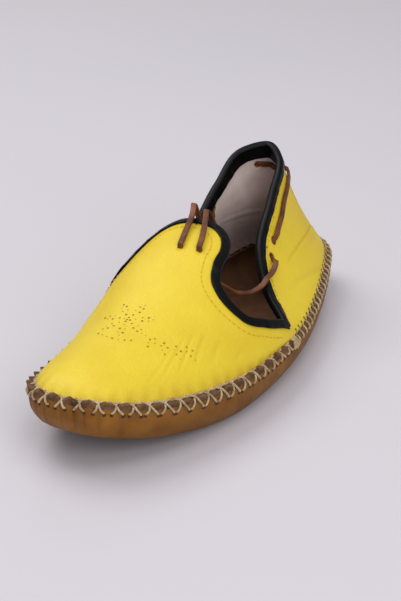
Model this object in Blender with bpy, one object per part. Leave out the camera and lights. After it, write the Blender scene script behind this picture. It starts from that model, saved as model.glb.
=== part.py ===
"""A left shoe in the style of the Turkish yemeni, built as its maker cuts and sews it.

The toe points along -Y, the outer side of the foot is +X and +Z is up. The origin is under
the middle of the shoe, on the plane that it stands on. Every function works in millimetres,
and the meshes are scaled to metres when they are made.
"""

import math
from typing import NamedTuple

import bmesh
import bpy
import numpy as np
from mathutils import Matrix

MM = 0.001

# Driving dimensions of the shoe
LENGTH = 256.0
HALF_LENGTH = LENGTH / 2
ROUND_ENDS = 2.4  # exponent of the toe and heel arcs, 2 is an ellipse
SOLE_WALL = 3.2
SOLE_BOTTOM = 4.0
UPPER_LEATHER = 2.0
INSOLE_LEATHER = 2.0
BINDING_LEATHER = 1.0
SEAM_GAP = 0.3  # between pieces that are sewn or glued together
BINDING_GAP = 0.5  # between the binding and the leather that it is folded over
STATIONS = 80  # ribs round the shoe, an even number


class Station(NamedTuple):
    """One place along the shoe, from the toe at -1 to the heel at +1, with the rim there."""

    place: float
    outer: float  # half width on the outer side of the foot
    inner: float  # half width on the inner side of the foot
    axis: float  # how far the middle line lies towards +X
    rim: float  # height of the sole's stitched edge
    ground: float  # height of the underside, where it would dip below 0 it is flat
    tuck: float  # how far the sole's wall draws in below the rim


OUTLINE = [
    Station(-1.00, 49.0, 41.0, -7.5, 37.0, 18.5, 6.0),
    Station(-0.80, 50.0, 41.5, -5.5, 29.5, 10.0, 5.0),
    Station(-0.58, 51.5, 42.0, -3.5, 24.5, 3.8, 4.8),
    Station(-0.35, 52.5, 46.0, -1.8, 21.5, 0.2, 5.0),
    Station(-0.08, 52.0, 47.5, -0.6, 20.0, -0.5, 6.0),
    Station(0.20, 49.0, 42.0, -0.2, 19.5, 0.6, 7.0),
    Station(0.50, 42.5, 35.0, 0.0, 20.8, -0.6, 8.0),
    Station(0.78, 37.5, 34.0, 0.0, 22.8, -0.4, 9.0),
    Station(1.00, 37.4, 34.0, 0.0, 23.8, 1.0, 8.0),
]


class Ridge(NamedTuple):
    """One place along the top of the vamp, and how the leather arches down from there."""

    y: float
    x: float
    height: float
    outer_flat: float  # exponent of the arch across the outer side: more is flatter on top
    inner_flat: float  # the same across the inner side
    fullness: float  # exponent of the whole arch: less is fuller


RIDGE = [
    Ridge(-128.0, -7.5, 37.3, 2.0, 2.0, 0.70),
    Ridge(-121.0, -7.3, 41.0, 2.0, 2.0, 0.70),
    Ridge(-108.0, -7.0, 44.0, 2.0, 2.0, 0.72),
    Ridge(-85.0, -6.5, 46.5, 2.0, 1.9, 0.76),
    Ridge(-55.0, -7.0, 52.0, 2.1, 2.1, 0.80),
    Ridge(-25.0, -8.5, 62.0, 2.2, 3.0, 0.85),
    Ridge(0.0, -10.0, 70.0, 2.3, 2.9, 0.85),
    Ridge(24.0, -11.0, 71.5, 2.3, 2.9, 0.85),
]


class CollarPoint(NamedTuple):
    """A point of the vamp's top edge in plan, on the outer and on the inner side."""

    outer: float  # x on the outer side
    outer_y: float
    inner: float  # x on the inner side
    inner_y: float


VAMP_EDGE = [
    CollarPoint(-10.0, 18.0, -10.0, 18.0),
    CollarPoint(0.5, 17.2, -19.0, 15.0),
    CollarPoint(9.2, 11.6, -26.5, 8.0),
    CollarPoint(14.7, 1.5, -31.0, -2.0),
    CollarPoint(16.4, -9.0, -33.5, -11.5),
    CollarPoint(20.5, -17.8, -35.8, -18.0),
    CollarPoint(28.5, -21.5, -39.8, -19.0),
    CollarPoint(36.5, -19.5, -41.8, -13.0),
    CollarPoint(42.0, -10.0, -41.8, -3.0),
    CollarPoint(46.2, 7.5, -40.4, 8.0),
]


class HeelPoint(NamedTuple):
    """A point of the quarter's top edge, from the side seam to the middle of the heel."""

    half_width: float
    y: float
    height: float


QUARTER_EDGE = [
    HeelPoint(31.0, 21.5, 40.0),
    HeelPoint(21.8, 37.0, 52.8),
    HeelPoint(17.6, 66.5, 70.5),
    HeelPoint(12.2, 91.5, 83.2),
    HeelPoint(0.0, 102.0, 85.8),
]
LEAN = -13.5  # sideways shift of the heel's top edge
LEAN_FROM, LEAN_TO = 24.0, 86.0  # heights between which it grows
SEAM_STATION = 21  # rib where vamp and quarter are sewn together


class Swell(NamedTuple):
    """How far the quarter's wall swells out of the straight line, along its edge."""

    share: float
    out: float


QUARTER_SWELL = [Swell(0.0, 0.0), Swell(0.2, 2.5), Swell(0.5, -3.2), Swell(0.8, 2.5), Swell(1.0, 0.0)]


class Rib(NamedTuple):
    """Which part of the vamp's top edge a rib from the sole's edge runs to."""

    station: float
    share: float


VAMP_RIBS = [Rib(0, 0.0), Rib(5, 0.17), Rib(9, 0.36), Rib(13, 0.56), Rib(17, 0.79), Rib(21, 1.0)]
RIB_LEAVE, RIB_ARRIVE = 14.0, 9.0  # how far a rib runs square to each edge in plan


class Curve:
    """Cubic through a few points, with tangents from the neighbours on both sides."""

    def __init__(self, at, values):
        """Keeps the points and works out the tangents."""
        self.at = np.asarray(at, float)
        self.values = np.asarray(values, float)
        self.slopes = np.gradient(self.values, self.at, axis=0)

    def __call__(self, at):
        """Value at a place, or at an array of places."""
        at = np.clip(at, self.at[0], self.at[-1])
        i = np.clip(np.searchsorted(self.at, at, side="right") - 1, 0, len(self.at) - 2)
        h = self.at[i + 1] - self.at[i]
        t = (at - self.at[i]) / h
        if self.values.ndim > 1:
            t, h = t[..., None], h[..., None]
        return (
            (2 * t**3 - 3 * t**2 + 1) * self.values[i]
            + (t**3 - 2 * t**2 + t) * h * self.slopes[i]
            + (3 * t**2 - 2 * t**3) * self.values[i + 1]
            + (t**3 - t**2) * h * self.slopes[i + 1]
        )


def line_through(points):
    """Curve through points, by the share of the way along them."""
    points = np.asarray(points, float)
    run = np.concatenate([[0], np.cumsum(np.linalg.norm(np.diff(points, axis=0), axis=1))])
    return Curve(run / run[-1], points)


def columns(rows):
    """A curve for each column of a table, by its first column."""
    names = rows[0]._fields
    return {name: Curve([r[0] for r in rows], [r[i] for r in rows]) for i, name in enumerate(names)}


def unit(vector):
    """The vector at length one."""
    return np.asarray(vector, float) / np.linalg.norm(vector)


OUTLINE_AT = columns(OUTLINE)
RIDGE_AT = columns(RIDGE)
RIB_AT = columns(VAMP_RIBS)
SWELL_AT = columns(QUARTER_SWELL)
VAMP_PLAN = {
    1: line_through([(p.outer, p.outer_y) for p in VAMP_EDGE]),
    -1: line_through([(p.inner, p.inner_y) for p in VAMP_EDGE]),
}


def along(name, place):
    """A column of the outline's table at a place along the shoe."""
    return OUTLINE_AT[name](place)


def ground(place):
    """Height of the sole's underside, flat under the ball of the foot and under the heel."""
    return np.maximum(along("ground", place), 0)


def rim_x(y, side):
    """X of the sole's edge at y, on the outer (+1) or the inner (-1) side."""
    place = np.clip(np.asarray(y, float) / HALF_LENGTH, -1, 1)
    width = np.where(side > 0, along("outer", place), -along("inner", place))
    end = np.clip(1 - np.abs(place) ** ROUND_ENDS, 0, 1) ** (1 / ROUND_ENDS)
    return along("axis", place) + width * end


def rim(turn):
    """Points of the sole's edge: turn is 0 at the toe, pi at the heel, by way of +X."""
    turn = np.asarray(turn, float)
    side = np.where(np.sin(turn) >= 0, 1.0, -1.0)
    y = -HALF_LENGTH * np.cos(turn)
    return np.stack([rim_x(y, side), y, along("rim", y / HALF_LENGTH)], axis=-1)


def outward(turn):
    """Unit vectors in plan, square to the sole's edge and pointing away from the shoe."""
    step = 0.02
    tangent = rim(turn + step) - rim(turn - step)
    normal = np.stack([tangent[..., 1], -tangent[..., 0], 0 * tangent[..., 0]], axis=-1)
    return normal / np.linalg.norm(normal, axis=-1, keepdims=True)


def turn_of(station):
    """The turn at a rib."""
    return station * 2 * math.pi / STATIONS


def vamp_height(x, y):
    """Height of the vamp's outer face over a point in plan."""
    ridge_x = RIDGE_AT["x"](y)
    side = 1 if x >= ridge_x else -1
    reach = max(abs(rim_x(y, side) - ridge_x), 1e-6)
    share = min(abs(x - ridge_x) / reach, 1.0)
    flat = RIDGE_AT["outer_flat" if side > 0 else "inner_flat"](y)
    base = along("rim", y / HALF_LENGTH) + SEAM_GAP
    rise = max(RIDGE_AT["height"](y) - base, 0)
    return float(base + rise * (1 - share**flat) ** RIDGE_AT["fullness"](y))


def vamp_plan(share, side):
    """Plan point of the vamp's top edge, from the tongue's tip at 0 to the side seam at 1."""
    return VAMP_PLAN[side](share)


def vamp_edge(share, side):
    """Point of the vamp's top edge."""
    x, y = vamp_plan(share, side)
    return np.array([x, y, vamp_height(x, y)])


def vamp_away(share, side):
    """Unit vector in plan, square to the vamp's top edge, pointing into its leather."""
    step = 0.01
    tangent = vamp_plan(min(share + step, 1), side) - vamp_plan(max(share - step, 0), side)
    if share < step:
        tangent = np.array([side, 0.0])
    return unit([side * tangent[1], -side * tangent[0]])


def quarter_loop():
    """The quarter's top edge, from the outer side seam round the heel to the inner one."""
    rows = np.array([(p.half_width, p.y, p.height) for p in QUARTER_EDGE])
    lean = LEAN * (rows[:, 2] - LEAN_FROM) / (LEAN_TO - LEAN_FROM)
    outer = np.column_stack([lean + rows[:, 0], rows[:, 1:]])
    inner = np.column_stack([lean - rows[:, 0], rows[:, 1:]])
    return line_through(np.vstack([vamp_edge(1.0, 1), outer, inner[-2::-1], vamp_edge(1.0, -1)]))


QUARTER_LINE = quarter_loop()


def quarter_edge(share):
    """Point of the quarter's top edge: 0 at the outer side seam, 1 at the inner one."""
    return QUARTER_LINE(share)


def upper_point(station, up):
    """Point of the upper's outer face: up is 0 at the sole's edge and 1 at the top edge."""
    turn = turn_of(station)
    base = rim(turn) + np.array([0, 0, SEAM_GAP])
    from_toe = min(station, STATIONS - station)
    side = 1 if station <= STATIONS / 2 else -1
    if from_toe <= SEAM_STATION:
        share = float(RIB_AT["share"](from_toe))
        top = vamp_plan(share, side)
        reach = min(1.0, np.linalg.norm(top - base[:2]) / 40)
        leave = base[:2] - outward(turn)[:2] * RIB_LEAVE * reach
        arrive = top + vamp_away(share, side) * RIB_ARRIVE * reach
        x, y = (
            (1 - up) ** 3 * base[:2]
            + 3 * (1 - up) ** 2 * up * leave
            + 3 * (1 - up) * up**2 * arrive
            + up**3 * top
        )
        return np.array([x, y, vamp_height(x, y)])
    share = (station - SEAM_STATION) / (STATIONS - 2 * SEAM_STATION)
    top = quarter_edge(share)
    bulge = SWELL_AT["out"](share) * math.sin(math.pi * max(up, 0) ** 0.7)
    return base + (top - base) * up + outward(turn) * bulge


def leather_finish(name, colour, roughness):
    """A plain leather finish of one colour."""
    material = bpy.data.materials.new(name)
    material.use_nodes = True
    shader = material.node_tree.nodes["Principled BSDF"]
    shader.inputs["Base Color"].default_value = (*colour, 1.0)
    shader.inputs["Roughness"].default_value = roughness
    shader.inputs["Metallic"].default_value = 0.0
    return material


def swept(name, rings, finish, closed_ring=True, closed_run=False, merge=False, cap_ends=False):
    """An object with quads between neighbouring rings of points given in millimetres."""
    made = bmesh.new()
    verts = [[made.verts.new(np.asarray(p) * MM) for p in ring] for ring in rings]
    pairs = list(zip(verts, verts[1:])) + ([(verts[-1], verts[0])] if closed_run else [])
    for low, high in pairs:
        count = len(low)
        for i in range(count if closed_ring else count - 1):
            j = (i + 1) % count
            made.faces.new((low[i], low[j], high[j], high[i]))
    if cap_ends:
        made.faces.new(verts[0])
        made.faces.new(reversed(verts[-1]))
    if merge:
        bmesh.ops.remove_doubles(made, verts=made.verts, dist=1e-6)
    bmesh.ops.recalc_face_normals(made, faces=made.faces)
    mesh = bpy.data.meshes.new(name)
    made.to_mesh(mesh)
    made.free()
    mesh.shade_smooth()
    mesh.set_sharp_from_angle(angle=math.radians(40))
    obj = bpy.data.objects.new(name, mesh)
    bpy.context.scene.collection.objects.link(obj)
    obj.data.materials.append(finish)
    return obj


UPPER_ROWS = 12
ROW_SPACING = 1.4  # above 1 the rows crowd towards the sole, where the vamp bends most


def make_upper():
    """Vamp and quarter, sewn into one wall that is open at the collar and underneath."""
    ups = [(row / UPPER_ROWS) ** ROW_SPACING for row in range(UPPER_ROWS + 1)]
    outer = np.array([[upper_point(s, up) for s in range(STATIONS)] for up in ups])
    round_it = np.roll(outer, -1, axis=1) - np.roll(outer, 1, axis=1)
    upwards = np.gradient(outer, axis=0)
    normal = np.cross(round_it, upwards)
    normal /= np.linalg.norm(normal, axis=-1, keepdims=True)
    inner = outer - normal * UPPER_LEATHER
    turns = turn_of(np.arange(STATIONS))
    inner[0] = outer[0] - outward(turns) * UPPER_LEATHER
    inner[..., 2] = np.maximum(inner[..., 2], rim(turns)[:, 2] + SEAM_GAP)
    finish = leather_finish("yellow leather", (0.86, 0.66, 0.03), 0.45)
    return swept("upper", list(outer) + list(inner[::-1]), finish, closed_run=True)


class SoleStep(NamedTuple):
    """One step of the sole's wall, from its stitched edge down to its flat underside."""

    height: float  # share of the way from the underside up to the edge
    inset: float  # share of the tuck that it lies in from the edge
    bulge: float  # how far it swells out


SOLE_STEPS = [
    SoleStep(1.00, 0.00, 0.0),
    SoleStep(0.78, 0.00, 0.9),
    SoleStep(0.52, 0.12, 1.4),
    SoleStep(0.28, 0.40, 1.2),
    SoleStep(0.10, 0.85, 0.6),
    SoleStep(0.00, 1.60, 0.0),
]
FLOOR_RINGS = (0.5, 0.0)  # shares of the half width, down to the middle line


def sole_ring(step, wall):
    """Ring of the sole's outer face, or of its inner face where wall is its thickness."""
    turns = turn_of(np.arange(STATIONS))
    edge = rim(turns)
    place = edge[:, 1] / HALF_LENGTH
    inset = along("tuck", place) * step.inset - step.bulge + wall
    ring = edge - outward(turns) * inset[:, None]
    low = ground(ring[:, 1] / HALF_LENGTH) + (SOLE_BOTTOM if wall else 0)
    ring[:, 2] = low + (edge[:, 2] - low) * step.height
    return ring


def narrowed(ring, share, lift):
    """The ring drawn in sideways to its middle line, lying on the sole's underside or above."""
    mirrored = np.roll(ring[::-1], 1, axis=0)
    middle = (ring + mirrored) / 2
    drawn = middle + (ring - middle) * share
    drawn[:, 2] = ground(drawn[:, 1] / HALF_LENGTH) + lift
    return drawn


def make_sole():
    """One piece of hide, drawn up all round into a shallow tray."""
    outer = [sole_ring(step, 0) for step in SOLE_STEPS]
    inner = [sole_ring(step, SOLE_WALL) for step in SOLE_STEPS]
    under = [narrowed(outer[-1], share, 0) for share in FLOOR_RINGS]
    over = [narrowed(inner[-1], share, SOLE_BOTTOM) for share in FLOOR_RINGS]
    finish = leather_finish("tan hide", (0.32, 0.17, 0.05), 0.6)
    return swept("sole", under[::-1] + outer[::-1] + inner + over, finish, merge=True)


def make_insole():
    """Thin leather cut to lie flat in the sole."""
    ring = sole_ring(SoleStep(0.0, SOLE_STEPS[-1].inset, -SEAM_GAP), SOLE_WALL)
    low = SOLE_BOTTOM + SEAM_GAP
    high = low + INSOLE_LEATHER
    under = [narrowed(ring, share, low) for share in FLOOR_RINGS[::-1] + (1.0,)]
    over = [narrowed(ring, share, high) for share in (1.0,) + FLOOR_RINGS]
    finish = leather_finish("dark leather", (0.06, 0.035, 0.02), 0.6)
    return swept("insole", under + over, finish, merge=True)


def vamp_beside(share, depth):
    """Point of the vamp's outer face at a depth from its edge: share runs from -1 to +1."""
    side = 1 if share >= 0 else -1
    plan = vamp_plan(abs(share), side)
    away = vamp_away(abs(share), side)
    left = depth
    while left > 0:
        step = min(left, 1.0)
        ahead = plan + away * 0.1
        slope = (vamp_height(*ahead) - vamp_height(*plan)) / 0.1
        plan = plan + away * step / math.hypot(1, slope)
        left -= step
    return np.array([plan[0], plan[1], vamp_height(*plan)])


def quarter_beside(share, depth):
    """Point of the quarter's outer face at a depth from its edge: share runs from -1 to +1."""
    station = SEAM_STATION + (STATIONS - 2 * SEAM_STATION) * (1 + share) / 2
    top = quarter_edge((1 + share) / 2)
    height = np.linalg.norm(top - upper_point(station, 0))
    return upper_point(station, 1 - depth / height)


class BindingPoint(NamedTuple):
    """A corner of the binding's section."""

    depth: float  # share of the band's width down from the leather's edge
    level: float  # 1 is outside the upper, 0 inside it
    skin: float  # 1 is the binding's visible face, 0 the one against the upper


BINDING_SECTION = [
    BindingPoint(1.0, 1, 1),
    BindingPoint(0.5, 1, 1),
    BindingPoint(0.0, 1, 1),
    BindingPoint(0.0, 0, 1),
    BindingPoint(0.5, 0, 1),
    BindingPoint(1.0, 0, 1),
    BindingPoint(1.0, 0, 0),
    BindingPoint(0.5, 0, 0),
    BindingPoint(0.0, 0, 0),
    BindingPoint(0.0, 1, 0),
    BindingPoint(0.5, 1, 0),
    BindingPoint(1.0, 1, 0),
]
VAMP_BAND, VAMP_FACING = 4.8, 5.5  # width outside and inside
QUARTER_BAND, QUARTER_FACING = 3.2, 5.6
HEEL_FACING = 8.2  # width inside at the middle of the heel
HEEL_SHARE = 0.42  # half of the edge's share over which the facing widens there
REACH = 0.965  # share of each edge that its binding covers


def face_frame(beside, share, depth):
    """Point, outward normal and the direction of growing share on the upper's outer face."""
    step = 0.004
    here = beside(share, max(depth, 0.05))
    down = unit(beside(share, depth + 1.0) - here)
    run = unit(beside(share + step, depth + 0.05) - beside(share - step, depth + 0.05))
    return here, unit(np.cross(down, run)), run, down


def rib_shares(one_side):
    """Where the ribs of the upper meet an edge, from end to end of its binding."""
    inner_side = [share for share in one_side if share < REACH - 0.01] + [REACH]
    return [-share for share in inner_side[:0:-1]] + inner_side


def make_binding(name, beside, shares, outside, inside, inside_at_middle):
    """A strip of black leather folded over an edge, with a band outside and one inside."""
    rings = []
    for share in shares:
        near_middle = math.cos(math.pi / 2 * min(abs(share) / HEEL_SHARE, 1)) ** 2
        facing = inside + (inside_at_middle - inside) * near_middle
        ring = []
        for corner in BINDING_SECTION:
            depth = corner.depth * (outside if corner.level else facing)
            here, normal, _, down = face_frame(beside, share, depth)
            offset = BINDING_GAP + corner.skin * BINDING_LEATHER
            level = offset if corner.level else -UPPER_LEATHER - offset
            rise = offset if corner.depth == 0 else 0
            ring.append(here + normal * level - down * rise)
        rings.append(ring)
    finish = leather_finish("black leather", (0.006, 0.007, 0.01), 0.25)
    return swept(name, rings, finish, cap_ends=True)


# The thong runs round the heel, in and out of the quarter and up behind the tongue
THONG_WIDTH = 3.0
THONG_THICKNESS = 1.6
OUTSIDE = THONG_THICKNESS / 2 + SEAM_GAP + 0.2  # level of its middle over the upper's outer face
INSIDE = -UPPER_LEATHER - OUTSIDE
MIDWALL = -UPPER_LEATHER / 2
HOLE_SLOPE = 0.023  # share of the edge that it takes to slip through a hole
THONG_STEP = 2.5  # between its sections


class Hole(NamedTuple):
    """A lace hole in the quarter."""

    share: float  # along the top edge, from the middle of the heel
    depth: float  # below the top edge


OUTER_HOLES = [Hole(0.0, 14.0), Hole(-0.523, 9.5), Hole(-0.612, 8.5)]
INNER_HOLES = [Hole(0.155, 12.0), Hole(0.523, 9.5), Hole(0.612, 8.5)]
OUTER_RUN = [Hole(-0.09, 11.8), Hole(-0.185, 10.8), Hole(-0.28, 10.5), Hole(-0.38, 10.5), Hole(-0.45, 10.0)]
INNER_RUN = [Hole(0.24, 11.2), Hole(0.33, 10.6), Hole(0.42, 10.2)]
OUTER_TONGUE_HOLE = (3.0, -6.8)
INNER_TONGUE_HOLE = (-6.8, -8.9)
OUTER_LOOP = [
    (24.9, 37.0, 47.6),
    (26.9, 28.5, 45.2),
    (27.2, 22.5, 44.8),
    (26.8, 17.5, 42.6),
    (23.2, 13.0, 39.8),
    (19.2, 7.0, 41.0),
    (16.2, -0.5, 46.6),
    (13.6, -7.0, 52.5),
    (10.0, -11.0, 57.5),
    (6.0, -10.0, 61.0),
]
INNER_LOOP = [
    (-38.5, 37.0, 46.0),
    (-38.0, 28.5, 45.0),
    (-34.5, 22.5, 45.0),
    (-31.0, 17.0, 42.5),
    (-27.5, 10.0, 42.0),
    (-24.5, 2.0, 47.0),
    (-21.0, -5.5, 53.5),
    (-16.0, -10.5, 58.5),
    (-10.5, -11.0, 61.5),
]


def through(hole, outwards):
    """Where the thong slips through a hole of the quarter, moving from the heel to the toe."""
    side = -1 if hole.share < 0.05 else 1
    levels = (INSIDE, MIDWALL, OUTSIDE) if outwards else (OUTSIDE, MIDWALL, INSIDE)
    steps = (-HOLE_SLOPE, 0.0, HOLE_SLOPE)
    return [(hole.share + side * step, hole.depth, level) for step, level in zip(steps, levels)]


def half_route(holes, run, loop, tongue_hole):
    """Points and flat directions of the thong on one side, from the heel's hole to the tongue."""
    rows = through(holes[0], True) + [(p.share, p.depth, OUTSIDE) for p in run]
    rows += through(holes[1], False) + through(holes[2], True)
    route = []
    for share, depth, level in rows:
        here, normal, _, _ = face_frame(quarter_beside, share, depth)
        route.append((here + normal * level, normal))
    route += [(np.array(point), np.array([0.0, -0.3, 1.0])) for point in loop]
    x, y = tongue_hole
    top = np.array([x, y, vamp_height(x, y)])
    route += [(top + np.array([0, 0, level]), np.array([0.0, 1.0, 0.2])) for level in (-4.2, -1.5, 0.3)]
    return route


def make_lace():
    """The whole thong between the tongue's two holes, one flat strip."""
    outer = half_route(OUTER_HOLES, OUTER_RUN, OUTER_LOOP, OUTER_TONGUE_HOLE)
    inner = half_route(INNER_HOLES, INNER_RUN, INNER_LOOP, INNER_TONGUE_HOLE)
    middle = (OUTER_HOLES[0].share + INNER_HOLES[0].share) / 2
    depth = (OUTER_HOLES[0].depth + INNER_HOLES[0].depth) / 2
    here, normal, _, _ = face_frame(quarter_beside, middle, depth)
    route = outer[::-1] + [(here + normal * INSIDE, normal)] + inner
    points = np.array([point for point, _ in route])
    run = np.concatenate([[0], np.cumsum(np.linalg.norm(np.diff(points, axis=0), axis=1))])
    line = Curve(run, points)
    flat = Curve(run, [hint for _, hint in route])
    rings = []
    for at in np.linspace(0, run[-1], int(run[-1] / THONG_STEP)):
        tangent = unit(line(min(at + 0.2, run[-1])) - line(max(at - 0.2, 0)))
        up = flat(at)
        up = unit(up - tangent * np.dot(up, tangent)) * THONG_THICKNESS / 2
        wide = unit(np.cross(tangent, up)) * THONG_WIDTH / 2
        middle = line(at)
        rings.append([middle + wide + up, middle - wide + up, middle - wide - up, middle + wide - up])
    finish = leather_finish("brown thong", (0.19, 0.07, 0.03), 0.5)
    return swept("lace", rings, finish, cap_ends=True)


HOLE_WIDTH = THONG_WIDTH + 0.9
HOLE_RUN = 5.6  # a thong slips through the quarter at a slant
TONGUE_HOLE_RUN = THONG_THICKNESS + 0.9
CUT_DEPTH = 8.0


def hole_box(cutter, middle, axes, sizes):
    """Adds a box to the cutter, along the given axes."""
    made = bmesh.ops.create_cube(cutter, size=1.0)["verts"]
    for vert in made:
        local = np.array(vert.co) * sizes
        vert.co = (middle + sum(axis * at for axis, at in zip(axes, local))) * MM


def punch_holes(upper):
    """Punches the lace holes: two in the tongue and three on each side of the quarter."""
    made = bmesh.new()
    for hole in OUTER_HOLES + INNER_HOLES:
        here, normal, run, down = face_frame(quarter_beside, hole.share, hole.depth)
        across = unit(np.cross(normal, run))
        hole_box(made, here + normal * MIDWALL, (run, across, normal), (HOLE_RUN, HOLE_WIDTH, CUT_DEPTH))
    for x, y in (OUTER_TONGUE_HOLE, INNER_TONGUE_HOLE):
        middle = np.array([x, y, vamp_height(x, y) + MIDWALL])
        hole_box(made, middle, np.eye(3), (HOLE_WIDTH, TONGUE_HOLE_RUN, CUT_DEPTH))
    bmesh.ops.recalc_face_normals(made, faces=made.faces)
    mesh = bpy.data.meshes.new("lace_holes")
    made.to_mesh(mesh)
    made.free()
    punch = bpy.data.objects.new("lace_holes", mesh)
    bpy.context.scene.collection.objects.link(punch)
    punch.hide_render = True
    punch.display_type = "WIRE"
    cut = upper.modifiers.new("lace holes", "BOOLEAN")
    cut.operation = "DIFFERENCE"
    cut.object = punch


# The thong's free ends come out of the tongue and flip back over it into the shoe
END_DIAMETER = 2.4
END_STEP = 5.0  # between the points of an end
OUTER_END = [
    (3.0, -6.8, 69.0),
    (1.4, -1.5, 70.5),
    (-1.0, 5.0, 72.4),
    (-4.0, 12.0, 74.2),
    (-6.5, 17.5, 75.8),
    (-8.5, 21.5, 76.0),
    (-9.0, 25.0, 73.6),
    (-8.0, 27.0, 69.0),
    (-6.0, 27.5, 64.0),
    (-4.0, 27.0, 59.5),
]
INNER_END = [
    (-6.8, -8.9, 69.2),
    (-8.2, -3.0, 71.2),
    (-10.2, 4.5, 73.0),
    (-12.2, 12.0, 74.6),
    (-14.0, 17.5, 77.0),
    (-16.0, 21.5, 78.0),
    (-17.2, 25.0, 75.6),
    (-17.0, 27.0, 71.0),
    (-15.5, 27.5, 66.0),
    (-13.5, 27.0, 61.0),
]


def make_end(name, route):
    """One free end of the thong, plain and round."""
    line = line_through(route)
    length = sum(math.dist(a, b) for a, b in zip(route, route[1:]))
    count = round(length / END_STEP) + 1
    curve = bpy.data.curves.new(name, "CURVE")
    curve.dimensions = "3D"
    curve.bevel_depth = END_DIAMETER / 2 * MM
    curve.bevel_resolution = 2
    curve.use_fill_caps = True
    spline = curve.splines.new("POLY")
    spline.points.add(count - 1)
    for i, point in enumerate(spline.points):
        point.co = (*(line(i / (count - 1)) * MM), 1.0)
    end = bpy.data.objects.new(name, curve)
    bpy.context.scene.collection.objects.link(end)
    curve.materials.append(leather_finish("brown thong end", (0.19, 0.07, 0.03), 0.5))
    return end


MIDDLE_X = -1.53  # moves the shapes sideways, so that the box's middle stands over the origin


def centre_on_origin():
    """Moves every shape by the same step sideways."""
    for obj in bpy.data.objects:
        obj.data.transform(Matrix.Translation((MIDDLE_X * MM, 0, 0)))


def main():
    """Builds the shoe in an emptied scene."""
    for obj in list(bpy.data.objects):
        bpy.data.objects.remove(obj)
    make_sole()
    make_insole()
    punch_holes(make_upper())
    vamp_shares = rib_shares([float(RIB_AT["share"](rib)) for rib in range(SEAM_STATION)])
    make_binding("vamp_binding", vamp_beside, vamp_shares, VAMP_BAND, VAMP_FACING, VAMP_FACING)
    quarter_ribs = STATIONS // 2 - SEAM_STATION
    quarter_shares = rib_shares([rib / quarter_ribs for rib in range(quarter_ribs)])
    make_binding("quarter_binding", quarter_beside, quarter_shares, QUARTER_BAND, QUARTER_FACING, HEEL_FACING)
    make_lace()
    make_end("lace_end_outer", OUTER_END)
    make_end("lace_end_inner", INNER_END)
    centre_on_origin()


if __name__ == "__main__":
    main()
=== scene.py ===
"""Looks of a left shoe in the style of the Turkish yemeni, hand-sewn in yellow leather.

The toe points along -Y, the outer side of the foot is +X and +Z is up. Shapes are worked out
in millimetres with the same named sizes as the solids, and meshes are made in metres.
"""

import logging
import math
from dataclasses import dataclass, field
from enum import Enum
from typing import Callable, NamedTuple, Optional, Sequence

import bmesh
import bpy
import numpy as np
from mathutils import Matrix, Vector


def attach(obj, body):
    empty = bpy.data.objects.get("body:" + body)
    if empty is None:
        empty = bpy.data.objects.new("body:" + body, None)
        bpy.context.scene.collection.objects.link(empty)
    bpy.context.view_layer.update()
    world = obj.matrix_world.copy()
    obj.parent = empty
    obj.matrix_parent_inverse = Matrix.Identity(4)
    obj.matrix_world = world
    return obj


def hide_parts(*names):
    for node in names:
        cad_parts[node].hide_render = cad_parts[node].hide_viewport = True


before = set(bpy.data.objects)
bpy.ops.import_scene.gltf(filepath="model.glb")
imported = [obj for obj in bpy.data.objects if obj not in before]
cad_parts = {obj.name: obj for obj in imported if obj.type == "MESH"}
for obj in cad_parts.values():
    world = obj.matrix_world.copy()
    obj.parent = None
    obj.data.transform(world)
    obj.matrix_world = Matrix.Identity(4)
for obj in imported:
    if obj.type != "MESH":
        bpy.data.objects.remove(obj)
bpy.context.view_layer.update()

log = logging.getLogger("yemeni_shoe")

MM = 0.001

# Where the last's middle line lies, so that the shoe's box has the origin under its middle
PLACE = np.array([-1.53, 0.0, 0.0])

# Turns of the sine that makes each stitch and lump a little different, the same in each run
COUNT_TURN = 12.9898
KIND_TURN = 78.233
# Length of one turn of a cord's strands, in millimetres
STRAND_TURN = 2.6

Array = np.ndarray
Socket = bpy.types.NodeSocket
Tree = bpy.types.NodeTree
Material = bpy.types.Material
BMesh = bmesh.types.BMesh
Pair = tuple[float, float]
Triple = tuple[float, float, float]


class Slot(str, Enum):
    """The record's material slots."""

    SOLE = "sole_hide"
    INSOLE = "insole_leather"
    UPPER = "upper_leather"
    BINDING = "binding_leather"
    LACE = "lace_leather"


# The last: the same tables as the solids


class Station(NamedTuple):
    """One place along the shoe, from the toe at -1 to the heel at +1, with the rim there."""

    place: float
    outer: float
    inner: float
    axis: float
    rim: float
    ground: float
    tuck: float


OUTLINE = [
    Station(-1.00, 49.0, 41.0, -7.5, 37.0, 18.5, 6.0),
    Station(-0.80, 50.0, 41.5, -5.5, 29.5, 10.0, 5.0),
    Station(-0.58, 51.5, 42.0, -3.5, 24.5, 3.8, 4.8),
    Station(-0.35, 52.5, 46.0, -1.8, 21.5, 0.2, 5.0),
    Station(-0.08, 52.0, 47.5, -0.6, 20.0, -0.5, 6.0),
    Station(0.20, 49.0, 42.0, -0.2, 19.5, 0.6, 7.0),
    Station(0.50, 42.5, 35.0, 0.0, 20.8, -0.6, 8.0),
    Station(0.78, 37.5, 34.0, 0.0, 22.8, -0.4, 9.0),
    Station(1.00, 37.4, 34.0, 0.0, 23.8, 1.0, 8.0),
]


class Ridge(NamedTuple):
    """One place along the top of the vamp, and how the leather arches down from there."""

    y: float
    x: float
    height: float
    outer_flat: float
    inner_flat: float
    fullness: float


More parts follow.
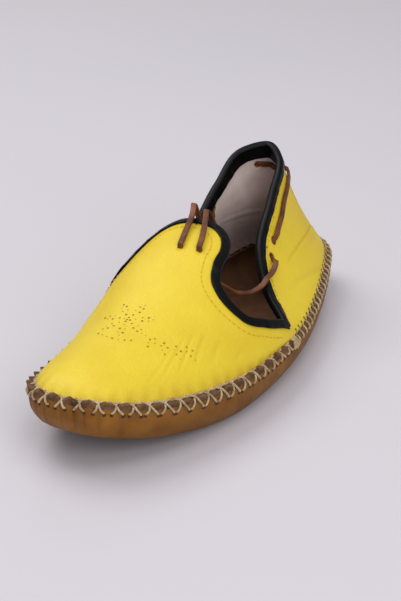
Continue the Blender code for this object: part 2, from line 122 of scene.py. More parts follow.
RIDGE = [
    Ridge(-128.0, -7.5, 37.3, 2.0, 2.0, 0.70),
    Ridge(-121.0, -7.3, 41.0, 2.0, 2.0, 0.70),
    Ridge(-108.0, -7.0, 44.0, 2.0, 2.0, 0.72),
    Ridge(-85.0, -6.5, 46.5, 2.0, 1.9, 0.76),
    Ridge(-55.0, -7.0, 52.0, 2.1, 2.1, 0.80),
    Ridge(-25.0, -8.5, 62.0, 2.2, 3.0, 0.85),
    Ridge(0.0, -10.0, 70.0, 2.3, 2.9, 0.85),
    Ridge(24.0, -11.0, 71.5, 2.3, 2.9, 0.85),
]


class CollarPoint(NamedTuple):
    """A point of the vamp's top edge in plan, on the outer and on the inner side."""

    outer: float
    outer_y: float
    inner: float
    inner_y: float


VAMP_EDGE = [
    CollarPoint(-10.0, 18.0, -10.0, 18.0),
    CollarPoint(0.5, 17.2, -19.0, 15.0),
    CollarPoint(9.2, 11.6, -26.5, 8.0),
    CollarPoint(14.7, 1.5, -31.0, -2.0),
    CollarPoint(16.4, -9.0, -33.5, -11.5),
    CollarPoint(20.5, -17.8, -35.8, -18.0),
    CollarPoint(28.5, -21.5, -39.8, -19.0),
    CollarPoint(36.5, -19.5, -41.8, -13.0),
    CollarPoint(42.0, -10.0, -41.8, -3.0),
    CollarPoint(46.2, 7.5, -40.4, 8.0),
]


class HeelPoint(NamedTuple):
    """A point of the quarter's top edge, from the side seam to the middle of the heel."""

    half_width: float
    y: float
    height: float


QUARTER_EDGE = [
    HeelPoint(31.0, 21.5, 40.0),
    HeelPoint(21.8, 37.0, 52.8),
    HeelPoint(17.6, 66.5, 70.5),
    HeelPoint(12.2, 91.5, 83.2),
    HeelPoint(0.0, 102.0, 85.8),
]


class Swell(NamedTuple):
    """How far the quarter's wall swells out of the straight line, along its edge."""

    share: float
    out: float


QUARTER_SWELL = [Swell(0.0, 0.0), Swell(0.2, 2.5), Swell(0.5, -3.2), Swell(0.8, 2.5), Swell(1.0, 0.0)]


class Rib(NamedTuple):
    """Which part of the vamp's top edge a rib from the sole's edge runs to."""

    station: float
    share: float


VAMP_RIBS = [Rib(0, 0.0), Rib(5, 0.17), Rib(9, 0.36), Rib(13, 0.56), Rib(17, 0.79), Rib(21, 1.0)]


class Curve:
    """Cubic through a few points, with tangents from the neighbours on both sides."""

    def __init__(self, at: Sequence[float], values: Sequence) -> None:
        """Keeps the points and works out the tangents."""
        self.at = np.asarray(at, float)
        self.values = np.asarray(values, float)
        self.slopes = np.gradient(self.values, self.at, axis=0)

    def __call__(self, at: Array) -> Array:
        """Values at an array of places, held at the ends beyond them."""
        at = np.clip(np.asarray(at, float), self.at[0], self.at[-1])
        i = np.clip(np.searchsorted(self.at, at, side="right") - 1, 0, len(self.at) - 2)
        h = self.at[i + 1] - self.at[i]
        t = (at - self.at[i]) / h
        if self.values.ndim > 1:
            t, h = t[..., None], h[..., None]
        return (
            (2 * t**3 - 3 * t**2 + 1) * self.values[i]
            + (t**3 - 2 * t**2 + t) * h * self.slopes[i]
            + (3 * t**2 - 2 * t**3) * self.values[i + 1]
            + (t**3 - t**2) * h * self.slopes[i + 1]
        )


def run_along(points: Array) -> Array:
    """How far along a row of points each of them lies."""
    return np.concatenate([[0], np.cumsum(np.linalg.norm(np.diff(points, axis=0), axis=1))])


def line_through(points: Sequence) -> Curve:
    """Curve through points, by the share of the way along them."""
    points = np.asarray(points, float)
    run = run_along(points)
    return Curve(run / run[-1], points)


def columns(rows: Sequence) -> dict[str, Curve]:
    """A curve for each column of a table, by its first column."""
    names = rows[0]._fields
    return {name: Curve([r[0] for r in rows], [r[i] for r in rows]) for i, name in enumerate(names)}


def unit(vectors: Array) -> Array:
    """The vectors at length one."""
    return vectors / np.maximum(np.linalg.norm(vectors, axis=-1, keepdims=True), 1e-9)


def smooth_step(low: float, high: float, at: Array) -> Array:
    """0 below low, 1 above high and a soft rise between them."""
    t = np.clip((np.asarray(at, float) - low) / (high - low), 0, 1)
    return t * t * (3 - 2 * t)


def wobble(count: float, kind: int) -> float:
    """A fixed unevenness between -1 and 1 for a numbered stitch or lump."""
    return math.sin(COUNT_TURN * count + KIND_TURN * kind)


def bump(middle: float, width: float, at: Array) -> Array:
    """A soft hump of height 1 and the given half width."""
    return np.exp(-(((np.asarray(at, float) - middle) / width) ** 2))


def humps(rows: Sequence[Triple], at: Array) -> Array:
    """Soft humps added up: rows of height, middle and half width."""
    return sum(height * bump(middle, width, at) for height, middle, width in rows)


def waves(rows: Sequence[Triple], at: Array) -> Array:
    """Small waves added up: rows of height, turn for each step along, and shift."""
    return sum(height * np.sin(at * turn + shift) for height, turn, shift in rows)


@dataclass
class Last:
    """The shape of the shoe, worked out from its tables, for arrays of places at once."""

    half_length: float = 128.0
    round_ends: float = 2.4
    stations: int = 80
    seam_station: float = 21.0
    seam_gap: float = 0.3
    rib_leave: float = 14.0
    rib_arrive: float = 9.0
    short_rib: float = 40.0  # ribs shorter than this bend less
    lean: float = -13.5
    lean_from: float = 24.0
    lean_to: float = 86.0
    outline: dict[str, Curve] = field(default_factory=lambda: columns(OUTLINE))
    ridge: dict[str, Curve] = field(default_factory=lambda: columns(RIDGE))
    ribs: dict[str, Curve] = field(default_factory=lambda: columns(VAMP_RIBS))
    swell: dict[str, Curve] = field(default_factory=lambda: columns(QUARTER_SWELL))
    outer_plan: Curve = field(init=False)
    inner_plan: Curve = field(init=False)
    quarter_line: Curve = field(init=False)

    def __post_init__(self) -> None:
        """Works out the two top edges."""
        self.outer_plan = line_through([(p.outer, p.outer_y) for p in VAMP_EDGE])
        self.inner_plan = line_through([(p.inner, p.inner_y) for p in VAMP_EDGE])
        rows = np.array([(p.half_width, p.y, p.height) for p in QUARTER_EDGE])
        lean = self.lean * (rows[:, 2] - self.lean_from) / (self.lean_to - self.lean_from)
        outer = np.column_stack([lean + rows[:, 0], rows[:, 1:]])
        inner = np.column_stack([lean - rows[:, 0], rows[:, 1:]])
        ends = self.vamp_edge(np.array([1.0, -1.0]))
        self.quarter_line = line_through(np.vstack([ends[:1], outer, inner[-2::-1], ends[1:]]))

    def ground(self, y: Array) -> Array:
        """Height of the sole's underside at y."""
        return np.maximum(self.outline["ground"](np.asarray(y) / self.half_length), 0)

    def rim_x(self, y: Array, side: Array) -> Array:
        """X of the sole's edge at y, on the outer (+1) or the inner (-1) side."""
        place = np.clip(np.asarray(y, float) / self.half_length, -1, 1)
        width = np.where(side > 0, self.outline["outer"](place), -self.outline["inner"](place))
        end = np.clip(1 - np.abs(place) ** self.round_ends, 0, 1) ** (1 / self.round_ends)
        return self.outline["axis"](place) + width * end

    def turn(self, station: Array) -> Array:
        """The turn at a rib: 0 at the toe and pi at the heel, by way of +X."""
        return np.asarray(station, float) * 2 * math.pi / self.stations

    def rim(self, station: Array) -> Array:
        """Points of the sole's edge."""
        turn = self.turn(station)
        side = np.where(np.sin(turn) >= 0, 1.0, -1.0)
        y = -self.half_length * np.cos(turn)
        rim = self.outline["rim"](y / self.half_length)
        return np.stack([self.rim_x(y, side), y, rim], axis=-1)

    def outward(self, station: Array) -> Array:
        """Unit vectors in plan, square to the sole's edge and pointing away from the shoe."""
        step = 0.02 * self.stations / (2 * math.pi)
        tangent = self.rim(np.asarray(station) + step) - self.rim(np.asarray(station) - step)
        return unit(np.stack([tangent[..., 1], -tangent[..., 0], 0 * tangent[..., 0]], axis=-1))

    def vamp_height(self, x: Array, y: Array) -> Array:
        """Height of the vamp's outer face over points in plan."""
        ridge_x = self.ridge["x"](y)
        side = np.where(x >= ridge_x, 1.0, -1.0)
        reach = np.maximum(np.abs(self.rim_x(y, side) - ridge_x), 1e-6)
        share = np.minimum(np.abs(x - ridge_x) / reach, 1.0)
        flat = np.where(side > 0, self.ridge["outer_flat"](y), self.ridge["inner_flat"](y))
        base = self.outline["rim"](y / self.half_length) + self.seam_gap
        rise = np.maximum(self.ridge["height"](y) - base, 0)
        return base + rise * (1 - share**flat) ** self.ridge["fullness"](y)

    def on_vamp(self, plan: Array) -> Array:
        """Points of the vamp's outer face over points in plan."""
        height = self.vamp_height(plan[..., 0], plan[..., 1])
        return np.concatenate([plan, height[..., None]], axis=-1)

    def vamp_plan(self, share: Array) -> Array:
        """Plan points of the vamp's top edge: -1 and +1 are the side seams, 0 the tongue's tip."""
        share = np.asarray(share, float)
        outer = self.outer_plan(np.abs(share))
        inner = self.inner_plan(np.abs(share))
        return np.where((share >= 0)[..., None], outer, inner)

    def vamp_edge(self, share: Array) -> Array:
        """Points of the vamp's top edge."""
        return self.on_vamp(self.vamp_plan(share))

    def vamp_away(self, share: Array) -> Array:
        """Unit vectors in plan, square to the vamp's top edge, pointing into its leather."""
        share = np.asarray(share, float)
        step = 0.01
        low, high = np.clip(share - step, -1, 1), np.clip(share + step, -1, 1)
        tangent = self.vamp_plan(high) - self.vamp_plan(low)
        return unit(np.stack([tangent[..., 1], -tangent[..., 0]], axis=-1))

    def quarter_edge(self, share: Array) -> Array:
        """Points of the quarter's top edge: 0 at the outer side seam, 1 at the inner one."""
        return self.quarter_line(share)

    def vamp_rib(self, station: Array, up: Array) -> Array:
        """Points of the vamp along a rib: up is 0 at the sole's edge and 1 at the top edge."""
        signed = np.where(station <= self.stations / 2, station, station - self.stations)
        share = np.sign(signed) * self.ribs["share"](np.abs(signed))
        share = np.where(signed == 0, 0.0, share)
        base = self.rim(station)[..., :2]
        top = self.vamp_plan(share)
        reach = np.minimum(1.0, np.linalg.norm(top - base, axis=-1) / self.short_rib)[..., None]
        leave = base - self.outward(station)[..., :2] * self.rib_leave * reach
        arrive = top + self.vamp_away(share) * self.rib_arrive * reach
        t = up[..., None]
        s = 1 - t
        return self.on_vamp(s**3 * base + 3 * s**2 * t * leave + 3 * s * t**2 * arrive + t**3 * top)

    def quarter_rib(self, station: Array, up: Array) -> Array:
        """Points of the quarter along a rib."""
        share = (station - self.seam_station) / (self.stations - 2 * self.seam_station)
        base = self.rim(station) + np.array([0, 0, self.seam_gap])
        bulge = self.swell["out"](share) * np.sin(math.pi * np.clip(up, 0, 1) ** 0.7)
        straight = base + (self.quarter_edge(share) - base) * up[..., None]
        return straight + self.outward(station) * bulge[..., None]

    def upper(self, station: Array, up: Array) -> Array:
        """Points of the upper's outer face. The ribs beside each side seam blend the two parts."""
        station, up = np.broadcast_arrays(np.asarray(station, float) % self.stations, up)
        from_toe = np.minimum(station, self.stations - station)
        near = np.minimum(from_toe, self.seam_station)
        far = np.maximum(from_toe, self.seam_station + 1)
        outer = station <= self.stations / 2
        vamp = self.vamp_rib(np.where(outer, near, self.stations - near) % self.stations, up)
        quarter = self.quarter_rib(np.where(outer, far, self.stations - far), up)
        part = np.clip(from_toe - self.seam_station, 0, 1)[..., None]
        return vamp * (1 - part) + quarter * part

    def vamp_beside(self, share: Array, depth: Array) -> Array:
        """Points of the vamp's outer face at a depth from its edge."""
        share, depth = np.broadcast_arrays(np.asarray(share, float), np.asarray(depth, float))
        plan = self.vamp_plan(share)
        away = self.vamp_away(share)
        steps, probe = 8, 0.1
        for _ in range(steps):
            ahead = self.on_vamp(plan + away * probe)[..., 2]
            slope = (ahead - self.on_vamp(plan)[..., 2]) / probe
            plan = plan + away * (depth / steps / np.hypot(1, slope))[..., None]
        return self.on_vamp(plan)

    def quarter_beside(self, share: Array, depth: Array) -> Array:
        """Points of the quarter at a depth from its edge: -1 and +1 are the side seams."""
        share, depth = np.broadcast_arrays(np.asarray(share, float), np.asarray(depth, float))
        station = self.seam_station + (self.stations - 2 * self.seam_station) * (1 + share) / 2
        top = self.quarter_edge((1 + share) / 2)
        height = np.linalg.norm(top - self.quarter_rib(station, 0 * share), axis=-1)
        return self.quarter_rib(station, 1 - depth / height)

    def face_frame(self, beside: Callable, share: Array, depth: Array) -> tuple[Array, Array, Array]:
        """Points beside an edge, with outward normals and the way down from the edge.

        Args:
            beside: vamp_beside or quarter_beside.
            share: places along the edge.
            depth: depths below the edge.

        Returns:
            Points, unit normals and unit vectors down from the edge.
        """
        step, least = 0.004, 0.05
        depth = np.maximum(depth, least)
        here = beside(share, depth)
        down = unit(beside(share, depth + 1.0) - here)
        run = unit(beside(share + step, depth) - beside(share - step, depth))
        return here, unit(np.cross(down, run)), down


# Finishes


def linear(code: str) -> tuple[float, float, float, float]:
    """Turns an sRGB hex colour such as F2DC50 into linear red, green, blue and 1."""
    parts = [int(code[i : i + 2], 16) / 255 for i in (0, 2, 4)]
    curve = [part / 12.92 if part <= 0.04045 else ((part + 0.055) / 1.055) ** 2.4 for part in parts]
    return (*curve, 1.0)


def add_node(tree: Tree, kind: str, feeds: Optional[dict] = None, **settings) -> bpy.types.Node:
    """Adds one node.

    Args:
        tree: the material's or world's node tree.
        kind: the node's type name.
        feeds: for each input name or number, a value or the socket that it is linked to.
        settings: attributes of the node itself.

    Returns:
        The node.
    """
    node = tree.nodes.new(kind)
    for name, value in settings.items():
        setattr(node, name, value)
    for name, value in (feeds or {}).items():
        if isinstance(value, Socket):
            tree.links.new(value, node.inputs[name])
        else:
            node.inputs[name].default_value = value
    return node


def noise(tree: Tree, spot: Socket, scale: float, detail: float, roughness: float = 0.5) -> Socket:
    """Adds a cloudy pattern and returns its socket."""
    feeds = {"Vector": spot, "Scale": scale, "Detail": detail, "Roughness": roughness}
    return add_node(tree, "ShaderNodeTexNoise", feeds).outputs[0]


def remap(
    tree: Tree, value: Socket, low: float, high: float, to_low: float = 0.0, to_high: float = 1.0
) -> Socket:
    """Stretches a value's range from low and high to other ends, and returns the result's socket."""
    feeds = {"Value": value, "From Min": low, "From Max": high, "To Min": to_low, "To Max": to_high}
    return add_node(tree, "ShaderNodeMapRange", feeds).outputs[0]


def maths(tree: Tree, operation: str, first: Socket, second: object, clamp: bool = False) -> Socket:
    """Adds one step of sums and returns the result's socket."""
    feeds = {0: first, 1: second}
    return add_node(tree, "ShaderNodeMath", feeds, operation=operation, use_clamp=clamp).outputs[0]


def mix(tree: Tree, share: Socket, low: object, high: object) -> Socket:
    """Mixes two colours and returns the result's socket."""
    feeds = {"Factor": share, 6: low, 7: high}
    return add_node(tree, "ShaderNodeMix", feeds, data_type="RGBA").outputs[2]


class Pattern(Enum):
    """What a finish's fine relief looks like."""

    PEBBLE = "pebble"  # small rounded cells with creases between them
    NAP = "nap"  # short raised fibres
    TWIST = "twist"  # strands that wind round a cord
    FIBRE = "fibre"  # torn fibres along a cut edge


@dataclass(frozen=True)
class Finish:
    """One real material and how its surface was made. Sizes are in millimetres."""

    name: str
    light: str  # colour where it is clean and full
    deep: str  # colour of its darker mottles
    worn: str  # colour it darkens to in creases, along seams, in folds and on rubbed places, and of its painted shade lower down
    pattern: Pattern
    grain: float  # size of the fine relief
    relief: float  # depth of the fine relief
    mottle: float  # size of the soft changes of colour
    roughness: float
    roughness_spread: float = 0.1
    coat: float = 0.0
    coat_roughness: float = 0.2
    sheen: float = 0.0
    specular: float = 0.5
    # Painted shade: shade_low, shade_from and shade_to darken the colour towards the worn colour lower
    # down
    shade_low: float = 0.0  # how much it darkens downwards
    shade_from: float = 26.0
    shade_to: float = 0.0

    def build(self) -> Material:
        """Makes the material."""
        material = bpy.data.materials.new(self.name)
        material.use_nodes = True
        tree = material.node_tree
        shader = tree.nodes["Principled BSDF"]
        spot = add_node(tree, "ShaderNodeTexCoord").outputs["Object"]
        broad = noise(tree, spot, 1 / (self.mottle * MM), 4.0)
        fine = noise(tree, spot, 3 / (self.grain * MM), 3.0)
        light, deep, worn = linear(self.light), linear(self.deep), linear(self.worn)
        skin = mix(tree, remap(tree, broad, 0.35, 0.68), light, deep)
        skin = mix(tree, remap(tree, fine, 0.45, 0.9, to_high=0.35), skin, deep)
        # Darker in patches where the mesh's darkening is high: along seams, in creases and folds, on
        # rubbed places
        darkening = add_node(tree, "ShaderNodeAttribute", attribute_name="darkening").outputs["Fac"]
        darkened = maths(tree, "MULTIPLY", maths(tree, "MULTIPLY", darkening, broad), 1.7, clamp=True)
        skin = mix(tree, darkened, skin, worn)
        # Painted shade: lower down, the colour turns by height towards the worn colour
        if self.shade_low:
            height = add_node(tree, "ShaderNodeSeparateXYZ", {0: spot}).outputs["Z"]
            low = remap(tree, height, self.shade_from * MM, self.shade_to * MM, to_high=self.shade_low)
            skin = mix(tree, low, skin, worn)
        half = self.roughness_spread / 2
        gloss = remap(tree, broad, 0.3, 0.7, self.roughness - half, self.roughness + half)
        values = {
            "Specular IOR Level": self.specular,
            "Coat Weight": self.coat,
            "Coat Roughness": self.coat_roughness,
            "Sheen Weight": self.sheen,
            "Sheen Roughness": 0.6,
        }
        for name, value in values.items():
            shader.inputs[name].default_value = value
        normal = self._relief(tree, spot, fine)
        for name, socket in (("Base Color", skin), ("Roughness", gloss), ("Normal", normal)):
            tree.links.new(socket, shader.inputs[name])
        return material

    def _relief(self, tree: Tree, spot: Socket, fine: Socket) -> Socket:
        """Adds the fine relief and returns the bumped normal."""
        scale = 1 / (self.grain * MM)
        height = fine
        if self.pattern is Pattern.PEBBLE:
            feeds = {"Vector": spot, "Scale": scale, "Randomness": 1.0}
            cells = add_node(tree, "ShaderNodeTexVoronoi", feeds, feature="SMOOTH_F1")
            height = maths(tree, "SUBTRACT", fine, cells.outputs["Distance"])
        elif self.pattern is Pattern.TWIST:
            lay = add_node(tree, "ShaderNodeUVMap").outputs[0]
            feeds = {"Vector": lay, "Scale": 0.4 * math.pi, "Distortion": 0.0}
            strands = add_node(tree, "ShaderNodeTexWave", feeds, bands_direction="DIAGONAL")
            height = maths(tree, "ADD", strands.outputs[1], fine)
        elif self.pattern is Pattern.FIBRE:
            stretched = add_node(tree, "ShaderNodeMapping", {"Vector": spot, "Scale": (1.0, 1.0, 3.0)})
            height = maths(tree, "MULTIPLY", noise(tree, stretched.outputs[0], scale, 6.0, 0.7), 1.6)
        feeds = {"Height": height, "Strength": 1.0, "Distance": self.relief * MM}
        return add_node(tree, "ShaderNodeBump", feeds).outputs[0]


# Dyed and lightly waxed cow leather for the upper: a fine pebble that is drawn 1.5 mm wide to show
YELLOW = Finish(
    "waxed_yellow_leather", "EDD22F", "E8C82A", "C0921F", Pattern.PEBBLE,
    grain=1.5, relief=0.17, mottle=22.0, roughness=0.5, roughness_spread=0.12,
    coat=0.06, coat_roughness=0.4, specular=0.35,
)
# Cut edge of that leather, where the undyed middle shows
CUT_YELLOW = Finish(
    "cut_yellow_edge", "B08E42", "8E7032", "66491F", Pattern.FIBRE,
    grain=0.8, relief=0.15, mottle=5.0, roughness=0.8,
)
# Mauve-grey suede that lines the upper: a short dull nap, darker in places, with painted shade that
# darkens it lower down inside the shoe
SUEDE = Finish(
    "mauve_suede", "F2DFD6", "DCC5BB", "5E4436", Pattern.NAP,
    grain=1.4, relief=0.12, mottle=12.0, roughness=0.92, sheen=0.35,
    shade_low=0.85, shade_from=56.0, shade_to=28.0,
)
# Vegetable-tanned hide of the sole, oiled, with painted shade that darkens it where it meets the ground
HIDE = Finish(
    "oiled_tan_hide", "99641A", "7E4F15", "4E2D0B", Pattern.PEBBLE,
    grain=2.2, relief=0.14, mottle=14.0, roughness=0.55, roughness_spread=0.16, coat=0.03, specular=0.25,
    shade_low=0.55,
)
# Raw edge of the hide, turned outwards in the seam: torn fibres
RAW_HIDE = Finish(
    "raw_hide_edge", "87603A", "4C3018", "2E1C0C", Pattern.FIBRE,
    grain=1.2, relief=0.5, mottle=4.0, roughness=0.85,
)
# Flesh side of the hide, inside the shoe
FLESH_HIDE = Finish(
    "hide_flesh_side", "6B4526", "55361E", "342012", Pattern.NAP,
    grain=1.6, relief=0.2, mottle=9.0, roughness=0.85,
)
# Thin dark leather of the insole, polished by use
INSOLE = Finish(
    "dark_insole_leather", "8A5C38", "6E482B", "4A2E1A", Pattern.PEBBLE,
    grain=1.8, relief=0.1, mottle=16.0, roughness=0.6, roughness_spread=0.2,
)
# Black glazed leather of the bindings: the glaze gives long soft highlights
GLAZED_BLACK = Finish(
    "glazed_black_leather", "040506", "030405", "08090C", Pattern.PEBBLE,
    grain=1.3, relief=0.07, mottle=10.0, roughness=0.4, roughness_spread=0.1,
    coat=0.06, coat_roughness=0.2, specular=0.12,
)
# Brown chrome leather of the thong: smooth face, slightly waxed
THONG = Finish(
    "brown_thong_leather", "84481C", "472815", "331C12", Pattern.FIBRE,
    grain=1.5, relief=0.10, mottle=11.0, roughness=0.55, roughness_spread=0.2, coat=0.08, specular=0.35,
)
# Waxed cotton cord of the seam: two twisted strands, drawn coarse enough to show
CORD = Finish(
    "waxed_cotton_cord", "DCC496", "A98A5C", "8E7148", Pattern.TWIST,
    grain=0.9, relief=0.25, mottle=4.0, roughness=0.75, sheen=0.2,
)
# Yellow polyester thread beside the bindings
YELLOW_THREAD = Finish(
    "yellow_thread", "EBC82C", "DDB526", "B98F1E", Pattern.TWIST,
    grain=0.6, relief=0.1, mottle=4.0, roughness=0.55,
)
# Inside of a needle hole, in shade
PRICKED = Finish(
    "pricked_hole", "4E3210", "3C260C", "2A1A08", Pattern.NAP,
    grain=0.5, relief=0.05, mottle=3.0, roughness=0.9,
)
# Inside of a small pinhole, where light still reaches the dyed leather
PINHOLE = Finish(
    "pinhole_shade", "B4932A", "8F7220", "6A5216", Pattern.NAP,
    grain=0.5, relief=0.05, mottle=5.0, roughness=0.9,
)


# Mesh making


def lay_sheet(made: BMesh, points: Array, darkening: Optional[Array] = None) -> dict:
    """Adds a grid whose vertices lie on rows of points in millimetres.

    Args:
        made: the mesh that the grid is added to.
        points: an array of across by along by 3 numbers.
        darkening: how much darker each point's colour is, from 0 to 1.

    Returns:
        For each new vertex, its row and column.
    """
    across, along = points.shape[0] - 1, points.shape[1] - 1
    if not made.loops.layers.uv:
        made.loops.layers.uv.new("UVMap")
    layer = made.verts.layers.float.get("darkening") or made.verts.layers.float.new("darkening")
    grid = bmesh.ops.create_grid(made, x_segments=across, y_segments=along, size=0.5, calc_uvs=True)
    cells = {}
    for vert in grid["verts"]:
        i = round((vert.co.x + 0.5) * across)
        j = round((vert.co.y + 0.5) * along)
        cells[vert] = (i, j)
        vert.co = points[i, j] * MM
        if darkening is not None:
            vert[layer] = float(darkening[i, j])
    return cells


def paint_bands(cells: dict, bands: Sequence[tuple[int, int]]) -> None:
    """Gives each face the material of its band of columns: rows of (first column, material)."""
    for face in {face for vert in cells for face in vert.link_faces}:
        column = min(cells[vert][1] for vert in face.verts)
        face.material_index = [index for first, index in bands if column >= first][-1]


def tube_points(path: Array, hints: Array, section: Array) -> Array:
    """Rows of points round a path.

    Args:
        path: points of the middle line.
        hints: which way the section's second axis points, one for each point.
        section: corners of the closed section, as sideways and upward offsets.

    Returns:
        An array of points by corners by 3, with the first corner repeated at the end.
    """
    tangent = unit(np.gradient(path, axis=0))
    up = unit(hints - tangent * (hints * tangent).sum(axis=-1, keepdims=True))
    wide = np.cross(tangent, up)
    closed = np.vstack([section, section[:1]])
    return path[:, None] + wide[:, None] * closed[None, :, :1] + up[:, None] * closed[None, :, 1:]


def round_section(radius: float, sides: int) -> Array:
    """Corners of a round section."""
    turns = np.arange(sides) * 2 * math.pi / sides
    return radius * np.column_stack([np.cos(turns), np.sin(turns)])


def flat_section(width: float, thickness: float, sides: int = 20) -> Array:
    """Corners of a flat strip's section with softly rounded edges."""
    turns = np.arange(sides) * 2 * math.pi / sides
    squareness = 0.38
    across = np.sign(np.cos(turns)) * np.abs(np.cos(turns)) ** squareness
    upwards = np.sign(np.sin(turns)) * np.abs(np.sin(turns)) ** squareness
    return np.column_stack([across * width / 2, upwards * thickness / 2])


def add_tube(made: BMesh, points: Array) -> None:
    """Adds a closed tube from rows of points, with filled ends. Its UV counts the strands' turns."""
    cells = lay_sheet(made, points)
    rows, corners = points.shape[0] - 1, points.shape[1] - 1
    turns = run_along(points[:, 0])[-1] / STRAND_TURN
    layer = made.loops.layers.uv["UVMap"]
    for vert, (i, j) in cells.items():
        for loop in vert.link_loops:
            loop[layer].uv = i / rows * turns, j / corners
    bmesh.ops.remove_doubles(made, verts=list(cells), dist=1e-7)
    alive = [v for v in cells if v.is_valid]
    edges = {edge for vert in alive for edge in vert.link_edges if edge.is_boundary}
    bmesh.ops.holes_fill(made, edges=list(edges), sides=0)


def take_mesh(name: str, made: BMesh) -> bpy.types.Mesh:
    """Turns a bmesh into a mesh and frees it."""
    mesh = bpy.data.meshes.new(name)
    made.to_mesh(mesh)
    made.free()
    return mesh


def add_object(name: str, data: bpy.types.ID) -> bpy.types.Object:
    """Puts a new object with its mesh, light or camera in the scene."""
    thing = bpy.data.objects.new(name, data)
    bpy.context.scene.collection.objects.link(thing)
    return thing


def make_piece(
    name: str,
    made: BMesh,
    finishes: Sequence[Material],
    stands_for: Sequence[str] = (),
    closed: bool = True,
) -> bpy.types.Object:
    """Turns a bmesh into a piece of the shoe.

    Args:
        name: the piece's name.
        made: its mesh, which is freed.
        finishes: its materials.
        stands_for: the solids that it replaces.
        closed: whether its normals can be worked out from its closed shape.

    Returns:
        The object.
    """
    if closed:
        bmesh.ops.recalc_face_normals(made, faces=made.faces)
    bmesh.ops.translate(made, verts=made.verts, vec=PLACE * MM)
    mesh = take_mesh(name, made)
    mesh.shade_smooth()
    for finish in finishes:
        mesh.materials.append(finish)
    piece = add_object(name, mesh)
    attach(piece, "root")
    if stands_for:
        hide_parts(*stands_for)
    log.info("%s: %d faces", name, len(mesh.polygons))
    return piece


@dataclass
class Seam:
    """The hand-sewn seam all round the rim: where its stitches are, and how they draw in the leather."""

    last: Last
    cross_pitch: float = 9.0  # between the crossed stitches round the front
    whip_pitch: float = 5.6  # between the whip stitches round the heel
    set_in: float = 2.2  # how far the upper's edge lies in from the sole's
    crust: float = 2.2  # height of the raw edge between two stitches
    cord: float = 1.15  # diameter
    hole_up: float = 3.4  # of the needle holes above the upper's edge
    hole_down: float = 3.4  # of the needle holes below the sole's edge
    front_up: float = 1.5  # of the crossed stitches' holes above the upper's edge
    front_ends: Pair = (19.5, 22.5)  # stations between which the stitches change
    samples: int = 1601  # at which the rim is measured
    stations: Array = field(init=False)
    lengths: Array = field(init=False)

    def __post_init__(self) -> None:
        """Measures the rim, from the inner side seam by way of the toe to the heel and round."""
        start = -self.last.seam_station
        self.stations = np.linspace(start, start + self.last.stations, self.samples)
        self.lengths = run_along(self.last.rim(self.stations))

    def length_at(self, station: Array) -> Array:
        """Length along the rim at a station."""
        start = self.last.seam_station
        shifted = (np.asarray(station, float) + start) % self.last.stations - start
        return np.interp(shifted, self.stations, self.lengths)

    def station_at(self, length: Array) -> Array:
        """Station at a length along the rim."""
        return np.interp(length, self.lengths, self.stations)

    @property
    def front_length(self) -> float:
        """Length of the part with crossed stitches."""
        return float(np.interp(self.last.seam_station, self.stations, self.lengths))

    @property
    def front_count(self) -> int:
        """Number of crossed stitches."""
        return round(self.front_length / self.cross_pitch)

    @property
    def heel_count(self) -> int:
        """Number of whip stitches."""
        return round((self.lengths[-1] - self.front_length) / self.whip_pitch)

    def phase(self, station: Array) -> Array:
        """Counts stitches along the rim: it is a whole number at each stitch."""
        length = self.length_at(station)
        front = length / self.front_length * self.front_count
        heel = (length - self.front_length) / (self.lengths[-1] - self.front_length) * self.heel_count
        return np.where(length <= self.front_length, front, self.front_count + heel)

    def between(self, station: Array) -> Array:
        """0 at each stitch and 1 half-way to the next."""
        return np.sin(math.pi * self.phase(station)) ** 2

    def is_front(self, station: Array) -> Array:
        """1 where the stitches are crossed, 0 round the heel, soft between them."""
        station = np.asarray(station, float) % self.last.stations
        return 1 - smooth_step(*self.front_ends, np.minimum(station, self.last.stations - station))


class Dimple(NamedTuple):
    """A soft crease: it runs between two places given as station and up, and dips by its depth."""

    station_a: float
    up_a: float
    station_b: float
    up_b: float
    width: float
    depth: float


CREASES = [
    Dimple(28.6, 0.62, 38.2, 0.24, 1.1, 0.8),  # fold from the lace holes to the corner of the heel
    Dimple(31.0, 0.42, 37.0, 0.16, 2.6, 0.3),
    Dimple(51.4, 0.62, 41.8, 0.24, 1.4, 0.25),
    Dimple(26.0, 0.55, 30.0, 0.15, 3.0, 0.4),
    Dimple(9.6, 0.33, 8.2, 0.08, 1.3, 0.22),
    Dimple(10.8, 0.38, 9.4, 0.08, 1.3, 0.28),
    Dimple(12.0, 0.42, 10.8, 0.08, 1.4, 0.32),
    Dimple(13.2, 0.44, 12.2, 0.09, 1.4, 0.32),
    Dimple(14.4, 0.42, 13.7, 0.10, 1.4, 0.28),
    Dimple(15.8, 0.40, 15.4, 0.10, 1.4, 0.22),
    Dimple(66.5, 0.60, 68.6, 0.12, 1.8, 0.35),
    Dimple(64.8, 0.60, 65.8, 0.12, 1.8, 0.35),
]


@dataclass
class Punch:
    """A lace hole: its middle on the outer face, the two directions in the leather and its size."""

    middle: Array
    along: Array
    across: Array
    half_along: float
    half_across: float


# The lace's course, as in the solids


class Hole(NamedTuple):
    """A lace hole in the quarter."""

    share: float
    depth: float


